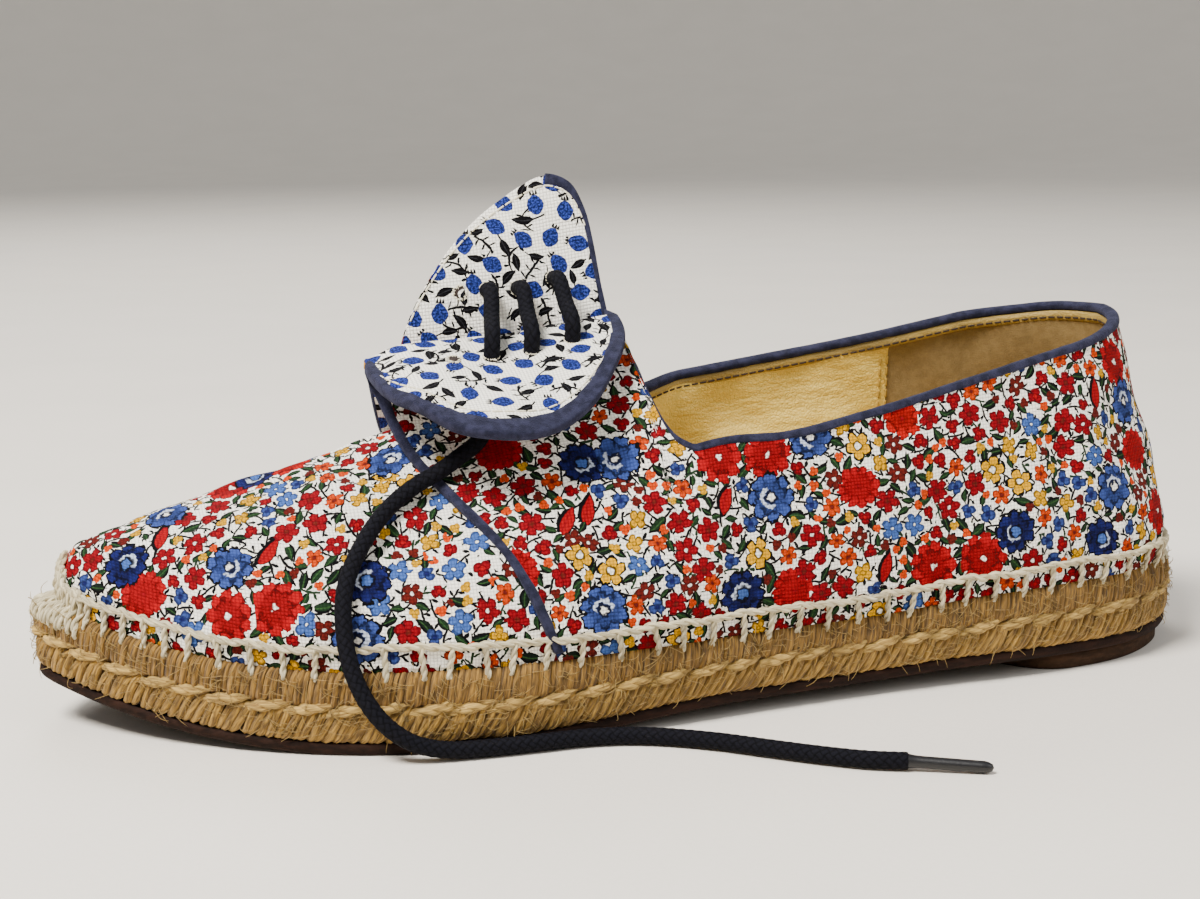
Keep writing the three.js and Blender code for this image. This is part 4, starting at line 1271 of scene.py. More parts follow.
def nearest_motif(centre, chosen, laid):
    """The number of the motif nearest to each chosen face, measured in the motif's reach."""
    nearest = np.zeros(len(centre), np.int64)
    faces = np.nonzero(chosen)[0]
    for part in np.array_split(faces, max(1, len(faces) // 4000)):
        gap = np.linalg.norm(centre[part][:, None] - laid["at"][None], axis=2) / laid["reach"]
        nearest[part] = gap.argmin(1)
    return nearest


def paint(piece, prints, cloth):
    """Gives each face the motif nearest to it on each layer, as values at its corners.

    prints pairs a choice of faces with their layers. cloth is where each point lies on the weave, the
    same for both sides of the sheet.
    """
    mesh = piece.data
    count = len(mesh.polygons)
    verts = to_shoe(fetch(mesh.vertices, "co", 3))
    corner = fetch(mesh.loops, "vertex_index", kind=np.int64)
    total = fetch(mesh.polygons, "loop_total", kind=np.int64)
    owner = np.repeat(np.arange(count), total)
    centre = np.zeros((count, 3))
    np.add.at(centre, owner, verts[corner])
    centre /= total[:, None]
    flat = np.column_stack([*cloth.reshape(-1, 2).T, np.zeros(cloth.size // 2)])
    attribute(piece, "cloth", np.concatenate([flat, flat])[corner], "CORNER")
    for layer in LAYERS:
        widths = {"at": 3, "ink": 4, "eye": 4, "form": 3}
        values = {key: np.zeros((len(corner), width)) for key, width in widths.items()}
        for chosen, layers in prints:
            motifs = layers[layer] or [HIDDEN]
            laid = {key: np.array([m[key] for m in motifs], float) for key in HIDDEN}
            own = chosen[owner]
            pick = nearest_motif(centre, chosen, laid)[owner[own]]
            normal, turn = unit(laid["normal"]), laid["turn"][:, None]
            level = unit(np.cross([0, 0, 1.0], normal) + 1e-6)
            first = level * np.cos(turn) + np.cross(normal, level) * np.sin(turn)
            second = np.cross(normal, first)
            half = laid["half"][pick]
            away = verts[corner[own]] - laid["at"][pick]
            x = (away * first[pick]).sum(1) / half[:, 0]
            y = (away * second[pick]).sum(1) / half[:, 1]
            shown = (np.abs(x) < 3) & (np.abs(y) < 3)
            values["at"][own] = np.column_stack([x, y, shown * half[:, 0]])
            for key in ("ink", "eye", "form"):
                values[key][own] = laid[key][pick]
        for key, value in values.items():
            attribute(piece, f"{layer}_{key}", value, "CORNER")


# ------------------------------------------------------------------ upper

TENT_END = TENT_COLUMNS + THROAT_COLUMNS - 1


def gather_quarters():
    """Both quarters' columns in one run, from the lateral front edge round the heel to the medial."""
    lateral, lateral_cloth = quarter_columns(1)
    medial, medial_cloth = quarter_columns(-1)
    points = np.concatenate([lateral, medial[:-1][::-1]])
    cloth = np.concatenate([lateral_cloth, medial_cloth[:-1][::-1] * [-1, 1] + [-80, 0]])
    return points, cloth, len(lateral)


# creases: a line of (s, z) on the lateral side, the trough's half width and depth
CREASES = [
    ([(214, 47), (200, 41), (186, 39)], 2.8, 1.2),
    ([(226, 43), (217, 36), (211, 28)], 2.6, 1.0),
    ([(206, 50), (196, 47), (188, 46)], 2.2, -0.7),
    ([(160, 46), (148, 41), (136, 40)], 3.4, 1.0),
    ([(150, 56), (140, 50), (128, 47)], 3.0, 0.9),
    ([(120, 50), (104, 44), (90, 42)], 3.6, 0.8),
    ([(84, 52), (74, 42), (70, 32)], 3.8, 1.0),
    ([(50, 60), (44, 48), (42, 36)], 3.8, 1.0),
    ([(30, 50), (22, 44), (14, 42)], 3.6, 1.0),
    ([(172, 40), (166, 30), (164, 24)], 2.8, 0.7),
]


def trough(s, z, line, width, depth):
    """How far a crease draws the cloth in at stations s and heights z."""
    best = np.full(np.shape(s), 1e9)
    line = catmull(np.array(line, float), 8)
    place = np.zeros(np.shape(s))
    for k, (a, b) in enumerate(zip(line, line[1:])):
        d = b - a
        f = np.clip(((s - a[0]) * d[0] + (z - a[1]) * d[1]) / np.dot(d, d), 0, 1)
        gap = np.hypot(s - a[0] - f * d[0], z - a[1] - f * d[1])
        place = np.where(gap < best, (k + f) / (len(line) - 1), place)
        best = np.minimum(best, gap)
    ends = np.sin(np.clip(place, 0.04, 0.96) * math.pi)
    profile = np.exp(-(best / width) ** 2) - 0.45 * np.exp(-((best - 1.9 * width) / width) ** 2)
    return depth * profile * ends


# waves: how fast each changes along and up, its phase and size
WAVES = [
    (0.071, 0.053, 0.3, 0.32), (0.113, -0.091, 1.9, 0.22), (0.043, 0.131, 4.1, 0.2),
    (0.19, 0.07, 2.2, 0.1), (-0.16, 0.17, 5.0, 0.09),
]


MEDIAL_SHIFT = 7
PUCKER_PITCH = 7
PUCKER_HEIGHT = 8.5
PUCKER_SPREAD = 3.2


def uneven(points, side, up):
    """How far the cloth stands out or in: slow waves, creases, and puckers over the stitches.

    up is the height over the foot.
    """
    s, z = points[..., 0], points[..., 2]
    out = np.zeros(s.shape)
    for a, b, phase, size in WAVES:
        out += size * np.sin(a * s * 2.2 + b * z * 2.2 + phase + side * 1.3)
    shifted = s + np.where(side < 0, MEDIAL_SHIFT, 0)
    for line, width, depth in CREASES:
        out -= trough(shifted, z, line, width, depth)
    toe = smoothstep(s, 196, 214)
    arc = s + np.abs(points[..., 1]) * 0.9
    band = np.exp(-((up - PUCKER_HEIGHT) / PUCKER_SPREAD) ** 2)
    pucker = np.cos(arc * 2 * math.pi / PUCKER_PITCH) * band
    out += (0.3 + 0.35 * toe) * pucker
    return out * smoothstep(up, 0, 6)


def sheet_between(front, back):
    """A closed sheet between two grids, and how many faces each side has: first front, then back."""
    rows, columns = front.shape[:2]
    count = rows * columns
    verts = np.concatenate([front.reshape(-1, 3), back.reshape(-1, 3)])
    outer = grid_faces(rows, columns)
    inner = grid_faces(rows, columns, start=count, flip=True)
    number = np.arange(count).reshape(rows, columns)
    edge = np.concatenate([number[0, :-1], number[:-1, -1], number[-1, :0:-1], number[:0:-1, 0]])
    follow = np.roll(edge, -1)
    wall = np.stack([edge, follow, follow + count, edge + count], -1)
    return verts, np.concatenate([outer, inner, wall]), len(outer)


QUARTER_LOOKS = (FLORAL, GOLD, TAN_SUEDE, BERRY, BINDING)
PRINTED, LEATHER, SUEDE, LINED, BOUND = range(len(QUARTER_LOOKS))
SUEDE_FRONT = 58
LINED_FROM = 30


def make_quarters():
    middle, cloth, lateral_count = gather_quarters()
    normal = grid_normals(middle)
    number = np.arange(len(middle))
    side = np.where(number < lateral_count, 1, -1)[:, None]
    from_front = np.minimum(number, len(middle) - 1 - number)
    row = np.arange(QUARTER_ROWS + 1)
    fade = smoothstep(QUARTER_ROWS - row, 0, 8)
    shift = uneven(middle, side, cloth[..., 1]) * fade * smoothstep(from_front, 0, 6)[:, None]
    outer = middle + normal * (LAP + shift)[..., None]
    inner = middle + normal * (LAP - WALL + shift)[..., None]
    tent = (from_front < TENT_END)[:, None]
    for grid, distance in ((outer, SLIT / 2 + WALL), (inner, SLIT / 2)):
        near = tent & (side * grid[..., 1] < distance)
        grid[..., 1] = np.where(near, side * distance, grid[..., 1])
    verts, faces, count = sheet_between(outer, inner)
    inside = slice(count, 2 * count)
    heel = (middle[..., 0] < SUEDE_FRONT)[:-1, :-1].ravel()
    lined = np.zeros(len(faces), bool)
    lined[inside] = (tent & (row > LINED_FROM))[:-1, :-1].ravel()
    index = np.full(len(faces), PRINTED)
    index[inside] = np.where(heel, SUEDE, LEATHER)
    walls = 2 * count + np.cumsum([0, QUARTER_ROWS, len(middle) - 1, QUARTER_ROWS])
    for start, look in zip(walls, (BOUND, LINED, BOUND, LEATHER)):
        index[start:] = look
    index[lined] = LINED
    piece = make_mesh("quarters", verts, faces, QUARTER_LOOKS, "printed_canvas", "upper", index)
    samples, directions = outer.reshape(-1, 3), normal.reshape(-1, 3)
    high, facing = (grid[:, LINED_FROM:].reshape(-1, 3)[::4] for grid in (inner, -normal))
    paint(piece, [
        (np.arange(len(faces)) < count, floral(samples, directions, QUARTER_FLOWERS)),
        (lined, berries(high, facing)),
    ], cloth)
    return dict(middle=middle, normal=normal, inner=inner, lateral=lateral_count)


VAMP_STATIONS = 96
VAMP_RISE = 46
VAMP_CLOTH = 300
LAPEL_CLOTH = 500


def make_vamp():
    f = np.linspace(0, 1, VAMP_STATIONS)
    stations = VAMP_BACK + (TOE_TIP - VAMP_BACK) * np.sin(f * math.pi / 2) ** 0.86
    t = np.linspace(0, 1, VAMP_RISE + 1)
    lateral, medial = (last_point(stations[:, None], side, t[None]) for side in (1, -1))
    outer = np.concatenate([lateral, medial[:, :-1][:, ::-1]], 1)
    side = np.where(np.arange(outer.shape[1]) <= VAMP_RISE, 1, -1)[None]
    normal = unit(np.cross(np.gradient(outer, axis=1), np.gradient(outer, axis=0)))
    normal[:, [0, -1], 2] = 0
    normal[-1] = [1, 0, 0]
    normal = unit(normal)
    over = lengths_across(outer)
    up = np.minimum(over, over[:, -1:] - over)
    fade = smoothstep(np.arange(len(stations))[::-1], 0, 5)[:, None]
    outer = outer + normal * (uneven(outer, side, up) * fade)[..., None]
    inner = outer - normal * WALL
    inner[..., 0] = np.minimum(inner[..., 0], TOE_TIP - 0.4)
    verts, faces, count = sheet_between(outer[:, ::-1], inner[:, ::-1])
    printed = np.arange(len(faces)) < count
    piece = make_mesh("vamp", verts, faces, [FLORAL, GOLD], "printed_canvas", "upper", ~printed)
    ridge = lengths(outer[:, VAMP_RISE])[:, None] + 0 * over
    cloth = np.stack([ridge, over + VAMP_CLOTH], -1)[:, ::-1]
    motifs = floral(outer.reshape(-1, 3), normal.reshape(-1, 3), VAMP_FLOWERS)
    paint(piece, [(printed, motifs)], cloth)


# flowers that catch the eye on the lateral side: kind, station and height
VAMP_FLOWERS = [
    ("blue", 228, 37), ("red", 229, 28), ("red", 220, 30), ("red_ball", 244, 31), ("navy", 247, 36),
    ("white_eyed", 233, 40), ("crimson", 210, 48), ("crimson", 215, 43),
    ("crimson", 210, 44), ("white_eyed", 207, 41), ("sky", 216, 49), ("bud", 218, 46),
    ("bud", 206, 53), ("blue", 192, 55), ("yellow", 194, 52), ("yellow", 190, 51),
    ("small_yellow", 200, 49), ("small_yellow", 196, 50), ("orange", 197, 54), ("orange", 205, 48),
    ("orange", 212, 39), ("red_bud", 230, 44), ("crimson", 227, 46), ("crimson", 235, 44),
    ("sky", 195, 36), ("sky", 200, 30), ("navy", 202, 35), ("maroon", 194, 32),
    ("small_yellow", 188, 41), ("sky", 215, 27), ("maroon", 212, 26), ("red_bud", 208, 32),
    ("bud", 237, 26), ("blue", 238, 44), ("red", 224, 50), ("scarlet", 212, 53), ("sky", 236, 24),
    ("blue", 205, 24), ("crimson", 195, 25), ("flame", 220, 39), ("flame", 240, 41),
]
QUARTER_FLOWERS = [
    ("scarlet", 182, 30), ("red_ball", 175, 35), ("small_yellow", 188, 41), ("orange", 185, 41),
    ("red_bud", 186, 45), ("yellow", 159, 38), ("yellow", 153, 34), ("crimson", 163, 34),
    ("blue", 155, 27), ("red_bud", 174, 45), ("red_bud", 171, 41), ("crimson", 168, 44),
    ("maroon", 160, 41), ("maroon", 157, 40),
    ("blue", 148, 55), ("navy", 155, 55), ("maroon", 147, 51), ("red_ball", 171, 57),
    ("crimson", 179, 50), ("crimson", 174, 49), ("orange", 162, 52), ("red_bud", 182, 25),
    ("blue", 115, 46), ("red", 126, 55), ("red", 115, 55), ("red_ball", 95, 47),
    ("crimson", 137, 43), ("crimson", 131, 41), ("white_eyed", 136, 37), ("crimson", 132, 33),
    ("white_eyed", 107, 38), ("sky", 88, 37), ("sky", 82, 38), ("crimson", 76, 44),
    ("white_eyed", 73, 40), ("red", 78, 28), ("red", 66, 29), ("navy", 57, 34), ("yellow", 62, 48),
    ("yellow", 56, 45), ("crimson", 43, 57), ("white_eyed", 38, 56), ("crimson", 43, 51),
    ("red_bud", 40, 47), ("blue", 30, 41), ("navy", 34, 30), ("bud", 44, 44), ("bud", 46, 35),
    ("orange", 50, 37), ("orange", 60, 42), ("crimson", 67, 45), ("crimson", 67, 60),
    ("scarlet", 83, 60), ("crimson", 77, 60), ("maroon", 86, 55), ("red_bud", 79, 55),
    ("red_bud", 80, 51), ("red_bud", 75, 51), ("red_bud", 71, 54), ("bud", 82, 45),
    ("maroon", 86, 49), ("crimson", 89, 43), ("maroon", 101, 49), ("bud", 126, 34),
    ("navy", 124, 27), ("crimson", 109, 30), ("red_ball", 112, 26), ("crimson", 105, 25),
    ("crimson", 100, 26), ("orange", 113, 34), ("orange", 99, 32),
    ("blue", 105, 58), ("orange", 66, 65), ("maroon", 54, 65),
    ("blue", 22, 59), ("crimson", 59, 58), ("red_bud", 65, 56), ("sky", 35, 49),
    ("small_yellow", 52, 51), ("crimson", 142, 47), ("orange", 135, 49), ("orange", 142, 58),
    ("small_yellow", 147, 39), ("red_bud", 140, 56), ("bud", 140, 31), ("bud", 144, 27),
    ("orange", 148, 27), ("maroon", 136, 30), ("maroon", 146, 30), ("orange", 131, 30),
    ("red_ball", 20, 48), ("red", 25, 68), ("yellow", 12, 60), ("blue", 9, 45), ("red", 14, 33),
    ("flame", 126, 47), ("flame", 90, 29), ("flame", 33, 62), ("flame", 161, 45), ("flame", 156, 46),
]

# ------------------------------------------------------------------ lapels

LAPEL_COLUMNS = 110
LAPEL_ROWS = 44
LAPEL_THICKNESS = 1.7


def lapel_grid(name):
    """Points and facings of a lapel's middle, from its rear to its front and from fold to rim."""
    lapel = LAPELS[name]
    rim = np.column_stack([lapel["rim"]["s"], lapel["rim"]["reach"]])
    rim = resample(catmull(rim, 12), 0.2)
    share = lengths(rim) / lengths(rim)[-1]
    at = np.linspace(0.012, 0.988, LAPEL_COLUMNS)
    edge = read_along(at, share, rim)
    base = rim[0, 0] + (rim[-1, 0] - rim[0, 0]) * at
    f = np.linspace(0, 1, LAPEL_ROWS + 1)[None]
    s = base[:, None] + (edge[:, :1] - base[:, None]) * f
    reach = edge[:, 1:] * f
    points, facing = lapel_point(lapel, s, reach)
    return points, facing, s, reach


def make_lapel(name):
    points, facing, s, reach = lapel_grid(name)
    side = LAPELS[name]["side"]
    wave = 0.5 * np.sin(s * 0.16 + reach * 0.11 + side) + 0.3 * np.sin(s * 0.31 - reach * 0.24)
    points = points + facing * (wave * smoothstep(reach, 2, 22))[..., None]
    lining = points + facing * (LAPEL_THICKNESS / 2)
    outer = points - facing * (LAPEL_THICKNESS / 2)
    order = slice(None, None, -side)
    verts, faces, count = sheet_between(lining[order], outer[order])
    lined = np.arange(len(faces)) < count
    looks, node = [BERRY, FLORAL], "lapel_" + name
    piece = make_mesh("lapel_cloth_" + name, verts, faces, looks, "lapel_lining", node, ~lined)
    lining_print = berries(lining.reshape(-1, 3)[::3], facing.reshape(-1, 3)[::3])
    outer_print = floral(outer.reshape(-1, 3), -facing.reshape(-1, 3))
    cloth = np.stack([s, reach + LAPEL_CLOTH], -1)[order]
    paint(piece, [(lined, lining_print), (~lined, outer_print)], cloth)
    return dict(points=points, facing=facing, lining=lining, outer=outer)


# ------------------------------------------------------------------ binding and bands


def cap_section(high, low, leg_high, leg_low, bulge):
    """A cap over an edge, in (normal, outward) coordinates, from its high leg over to its low one."""
    arc = np.linspace(0, math.pi, 9)
    middle, half = (high + low) / 2, (high - low) / 2
    top = np.column_stack([middle + half * np.cos(arc), bulge * np.sin(arc) ** 0.8])
    first = [(high - 0.5, -leg_high), (high - 0.08, -leg_high + 0.25), (high, -leg_high * 0.6)]
    last = [(low, -leg_low * 0.6), (low + 0.08, -leg_low + 0.25), (low + 0.5, -leg_low)]
    return np.array([*first, *top, *last])


def sweep(name, path, normal, outward, section, material, slot, wobble=0.0):
    """A closed body: a section carried along a path on its normals and outward directions.

    section is one for the whole path, or one for each of its points.
    """
    section = np.broadcast_to(section, (len(path), *section.shape[-2:]))
    count, size = section.shape[:2]
    along = lengths(path)
    rise = 1 + wobble * (np.sin(along * 0.9) * 0.5 + np.sin(along * 0.37 + 1) * 0.5)
    ring = (
        path[:, None]
        + normal[:, None] * section[..., :1]
        + outward[:, None] * (section[..., 1:] * rise[:, None, None])
    )
    faces = grid_faces(count, size, wrap_columns=True).tolist()
    ends = np.stack([ring[0].mean(0), ring[-1].mean(0)])
    make_mesh(name, close_ends(ring.reshape(-1, 3), faces, ends, size), faces, [material], slot)


def along_edge(path, face, out, *others, spacing=0.9, path_smooth=0, smooth=6):
    """An edge's path, normals, outward directions and any others, evened out along it."""
    path, face, out, *others = resample(path, spacing, face, out, *others)
    path, face, out = smoothed(path, path_smooth), smoothed(face, smooth), smoothed(out, smooth)
    face = unit(face)
    out = unit(out - face * (out * face).sum(1, keepdims=True))
    return path, face, out, *(smoothed(other, 6) for other in others)


def lapel_edges(shoe, lapel, row, inward, below):
    """Path, face and outward directions of a lapel's rim, and of its quarter's front edge from a few
    rows below the fold down."""
    points, facing = lapel["points"], lapel["facing"]
    middle, normal = shoe["middle"], shoe["normal"]
    rim = (points[:, -1], -facing[:, -1], unit(points[:, -1] - points[:, -4]))
    down = slice(QUARTER_ROWS - below, 1, -1)
    front = middle[row, down]
    return rim, (front, normal[row, down], unit(front - middle[row + inward * 3, down]))


BOUND_HALF = LAPEL_THICKNESS / 2 + 0.35
COLLAR_CAP = cap_section(LAP + 0.4, LAP - WALL - 0.4, 1.3, 1.2, 0.7)
FRONT_CAP = cap_section(LAP + 0.4, -0.9, 1.7, 1.0, 0.45)
LATERAL_CAP = cap_section(BOUND_HALF, -BOUND_HALF, 4.0, 4.2, 0.7)
MEDIAL_CAP = cap_section(BOUND_HALF, -BOUND_HALF, 3.6, 2.2, 0.7)
BOUND_SHARE = 0.43


def make_bindings(shoe, lapels):
    middle, normal = shoe["middle"], shoe["normal"]
    # over the collar, from throat to throat
    rows = slice(TENT_COLUMNS - 1, len(middle) - TENT_COLUMNS + 1)
    up = unit(middle[rows, -1] - middle[rows, -3])
    edge = along_edge(middle[rows, -1], normal[rows, -1], up)
    sweep("binding_collar", *edge, COLLAR_CAP, BINDING, "binding", wobble=0.05)
    # round the lateral lapel and on down the quarter's front edge, turning over at the fold's front
    rim, front = lapel_edges(shoe, lapels["lateral"], 0, 1, 5)
    turned = len(rim[0])
    share = smoothstep(np.arange(turned + len(front[0])), turned - 10, turned + 4)[:, None]
    strip = [np.concatenate(pair) for pair in zip(rim, front)]
    *edge, share = along_edge(*strip, share, spacing=0.8, path_smooth=8, smooth=14)
    section = LATERAL_CAP + (FRONT_CAP - LATERAL_CAP) * share[:, :, None]
    sweep("binding_lapel_lateral", *edge, section, BINDING, "binding", wobble=0.06)
    # along the rear of the medial lapel, and down its quarter's front edge
    rim, front = lapel_edges(shoe, lapels["medial"], len(middle) - 1, -1, 1)
    stop = int(len(rim[0]) * BOUND_SHARE)
    edge = along_edge(*(values[:stop] for values in rim))
    sweep("binding_lapel_medial", *edge, MEDIAL_CAP, BINDING, "binding", wobble=0.06)
    sweep("binding_front_medial", *along_edge(*front), FRONT_CAP, BINDING, "binding", wobble=0.05)


def capsules(parts, path, face, length, pitch, radius, lift):
    """Short stitches along a path, each a little tube bowed over the surface."""
    path, face = resample(path, 0.25, face)
    along, face = lengths(path), unit(face)
    bow = lift * (np.sin(np.linspace(0.1, 0.9, 6) * math.pi) - 0.35)[:, None]
    for k in range(int(along[-1] / pitch)):
        at = (k + 0.5) * pitch
        f = np.linspace(at - length / 2, at + length / 2, 6)
        place = read_along(f, along, path) + unit(read_along(f, along, face)) * bow
        tube(parts, place, radius, 6, seed=k * 0.173)


# ------------------------------------------------------------------ sole

ROPE_PITCH = 8.4
ROPE_PLIES = 3
ROPE_TWIST = 9.0


def whole_turn(ring):
    return np.concatenate([ring, ring[:1]])


RIM_ROUND = whole_turn(RIM)
RIM_OUT = whole_turn(outwards(RIM))
RIM_ALONG = lengths(RIM_ROUND)
RIM_LENGTH = RIM_ALONG[-1]


def rim_at(along, distance):
    """Point, outward and forward directions at lengths along the plan line, drawn in by distance."""
    along = np.mod(along, RIM_LENGTH)
    at = read_along(along, RIM_ALONG, RIM_ROUND)
    away = unit(read_along(along, RIM_ALONG, RIM_OUT))
    forward = np.column_stack([away[:, 1], -away[:, 0]])
    return at - away * np.reshape(distance, (-1, 1)), away, forward


def course_z(s, up):
    """Height at a share of the jute's own height."""
    return ground(s) + OUTSOLE + GAP + (jute(s) - GAP) * up


def strands(name, profile, pitch, lean, radius, material, node, rough=0.0):
    """A course of short strands that stand side by side round the sole's edge.

    profile gives (share of the jute's height, inset) from bottom to top; lean is how far the top of a
    strand stands behind its foot on the lateral side.
    """
    parts = Parts()
    count = int(RIM_LENGTH / pitch)
    levels = catmull(profile, 3)
    share = np.linspace(-0.5, 0.5, len(levels))
    bulge = 0.85 + 0.15 * np.sin(np.linspace(0, math.pi, len(levels)))
    for k in range(count):
        start = (k + rng.uniform(-0.12, 0.12)) * RIM_LENGTH / count
        tilt = lean * rng.uniform(0.75, 1.25)
        swell = rng.uniform(-0.18, 0.2) * (1 + rough)
        at, _, _ = rim_at(start + share * tilt, levels[:, 1] + radius - swell - 0.1)
        path = np.column_stack([at, course_z(at[:, 0], levels[:, 0])])
        thick = radius * bulge * rng.uniform(0.86, 1.12)
        tube(parts, path, thick, STRAND_SIDES, seed=rng.uniform(0, 1))
    parts.mesh(name, material, "jute", node, fibre=True)


def loop_at(distance, height):
    line = inset(RIM, distance)[::4]
    return np.column_stack([line, height(line[:, 0])])


def course_core(name, rows, node):
    """The inside of a course: a dark sheet of painted shade that shows between its strands."""
    loops = [
        loop_at(depth + 1.5, lambda s, up=up: course_z(s, up))
        for up, depth in zip(rows["up"], rows["inset"])
    ]
    verts, faces = stack(loops)
    piece = make_mesh(name, verts, faces, [CORE_SHADE], "jute", node)
    attribute(piece, "fibre", verts * [1, 0.11, 0.2], "POINT")


BOTTOM_STRAND = [(0.0, 2.6), (0.04, 0.7), (0.16, 0.05), (0.32, 0.05), (0.44, 0.8), (0.5, 2.4)]
TOP_STRAND = [(0.5, 2.4), (0.56, 0.9), (0.66, 0.1), (0.84, 0.3), (0.97, 1.1), (1.0, 3.4)]


def make_jute():
    bottom, top = "jute_bottom_course", "jute_top_course"
    course_core("jute_bottom_core", BOTTOM_COURSE, bottom)
    course_core("jute_top_core", TOP_COURSE, top)
    strands("jute_bottom_strands", BOTTOM_STRAND, 1.8, -6.5, 0.95, STRAW, bottom)
    strands("jute_top_strands", TOP_STRAND, 1.3, -2.2, 0.8, ROUGH_JUTE, top, rough=0.8)
    make_ropes()
    make_hairs()


def make_ropes():
    """Pale rope stitches along the groove between the courses, each lapping over the next."""
    parts = Parts()
    count = int(RIM_LENGTH / ROPE_PITCH)
    f = np.linspace(-0.5, 0.5, 22)
    thick = 0.4 + 0.95 * np.cos(f * math.pi * 0.94)
    for k in range(count):
        start = (k + rng.uniform(-0.15, 0.15)) * RIM_LENGTH / count
        long = rng.uniform(11, 14)
        depth = 1.7 - 1.0 * np.cos(f * math.pi) + rng.uniform(-0.15, 0.15)
        at, _, _ = rim_at(start + f * long, depth)
        s = at[:, 0]
        z = ground(s) + OUTSOLE + jute(s) * 0.5 - f * 2.6 + rng.uniform(-0.2, 0.2)
        path = np.column_stack([at, z])
        seeds = rng.uniform(0, 1, ROPE_PLIES)
        wind(parts, path, f * long, thick[:, None] * 0.42, thick * 0.62, ROPE_TWIST, seeds)
    parts.mesh("jute_ropes", ROPE, "jute", fibre=True)


HAIRS = 2400


def make_hairs():
    """Loose jute fibres that stand off the sole's edge."""
    parts = Parts()
    for _ in range(HAIRS):
        start = rng.uniform(0, RIM_LENGTH)
        up = rng.uniform(0.08, 0.96)
        at, away, forward = rim_at(np.array([start]), 0.3)
        s = at[0, 0]
        z = ground(s) + OUTSOLE + jute(s) * up
        root = np.array([*at[0], z])
        out = np.array([*away[0], rng.normal(0, 0.4)])
        drift = unit(np.array([*forward[0] * rng.normal(0, 1.2), rng.normal(0, 0.7)]))
        long = rng.uniform(1.2, 4.5)
        f = np.linspace(0, 1, 6)[:, None]
        lift = np.sin(f * math.pi * rng.uniform(0.5, 1.0)) * rng.uniform(0.4, 1.5)
        path = root + drift * f * long + unit(out) * lift
        path[:, 2] = np.maximum(path[:, 2], 0.3)
        tube(parts, path, np.linspace(0.11, 0.05, 6), 4, seed=rng.uniform(0, 1))
    parts.mesh("jute_hairs", ROPE, "jute", fibre=True)


OUTSOLE_LEVELS = ((3.2, 0), (1.9, 0), (1.0, 0.08), (0.6, 0.35), (0.6, 0.7), (0.9, 0.97), (1.6, 1))
LIFT_LEVELS = ((1.6, 0), (0.5, 0), (0.05, 0.12), (0, 0.5), (0.05, 0.94), (0.4, 1))
INSOLE_LEVELS = ((1, 0.3), (0, 0.6), (0, 1.7), (0.4, 2.15), (1.4, 2.3), (3, 2.3))
INSOLE_INSET = 0.9


def make_outsole():
    loops = [
        loop_at(inward, lambda s, up=up: ground(s) + OUTSOLE * up) for inward, up in OUTSOLE_LEVELS
    ]
    make_mesh("outsole_visible", *stack(loops), [RUBBER], "outsole", "outsole")


def make_heel_lift():
    line = inset(RIM, LIFT_INSET)
    along = int(np.argmax(line[:, 0] > LIFT_FRONT)) - 1
    past = np.maximum(0, line[:, 0] - (LIFT_FRONT - LIFT_CORNER)) / LIFT_CORNER
    narrowing = np.sqrt(np.maximum(0, 1 - LIFT_NARROWING * past**2))
    drawn = line * np.column_stack([np.ones(len(line)), narrowing])
    lateral, medial = drawn[:along + 1], drawn[len(drawn) - along:]
    f = np.linspace(1, -1, 13)
    front = np.column_stack([LIFT_FRONT + LIFT_BOW * (1 - f**2), f * LIFT_FRONT_HALF])
    outline = resample(np.concatenate([lateral, front, medial, lateral[:1]]), 1.5)[:-1]
    if len(outline) % 2:
        outline = np.delete(outline, len(outline) // 2, 0)
    loops = []
    for inward, up in LIFT_LEVELS:
        ring = inset(outline, inward)
        loops.append(np.column_stack([ring, (ground(ring[:, 0]) - GAP) * up]))
    make_mesh("heel_lift_visible", *stack(loops), [LIFT], "heel_lift", "heel_lift")


def make_insole():
    loops = []
    for more, up in INSOLE_LEVELS:
        inward = FEATHER + WALL + INSOLE_INSET + more
        line = inset(RIM, inward + end_narrowing(RIM[:, 0]))[::4]
        loops.append(np.column_stack([line, jute_top(line[:, 0]) + up]))
    make_mesh("insole_visible", *stack(loops), [GOLD], "lining_leather", "insole")


# ------------------------------------------------------------------ yarn, stitches and holes

STITCH_PITCH = 7.0
END_PITCH = 4.4
PURL_HEIGHT = 5.0


def tree_of(*pieces):
    """A search tree over pieces' faces, to find the surface from outside. In metres."""
    verts, faces, count = [], [], 0
    for piece in pieces:
        verts += [v.co.copy() for v in piece.data.vertices]
        faces += [[v + count for v in p.vertices] for p in piece.data.polygons]
        count = len(verts)
    return BVHTree.FromPolygons(verts, faces)


def skin(tree, place, away, z):
    """Where a level line in from outside meets the upper, and the surface's direction there."""
    start = Vector(to_frame([*(place + away * 16), z]))
    hit, normal, _, _ = tree.ray_cast(start, Vector((*-away, 0)), 40 * MM)
    return None if hit is None else (to_shoe(np.array(hit)), np.array(normal))


def stitch_places():
    """Lengths along the plan line at which a stitch goes down, closer together at toe and heel."""
    places, at = [], 0.0
    while at < RIM_LENGTH - 2:
        places.append(at)
        s = rim_at(np.array([at]), 0)[0][0, 0]
        ends = smoothstep(s, 226, 254) + smoothstep(-s, -22, -6)
        pitch = STITCH_PITCH + (END_PITCH - STITCH_PITCH) * ends
        at += pitch * rng.uniform(0.9, 1.12)
    return np.array(places)


def down_to_sole(at, top, drift, levels):
    """The lower end of a stitch. levels pairs heights over the jute's top with insets."""
    edges = [rim_at(np.array([at]), depth)[0][0] + drift for _, depth in levels]
    return [np.array([*edge, top + up]) for edge, (up, _) in zip(edges, levels)]


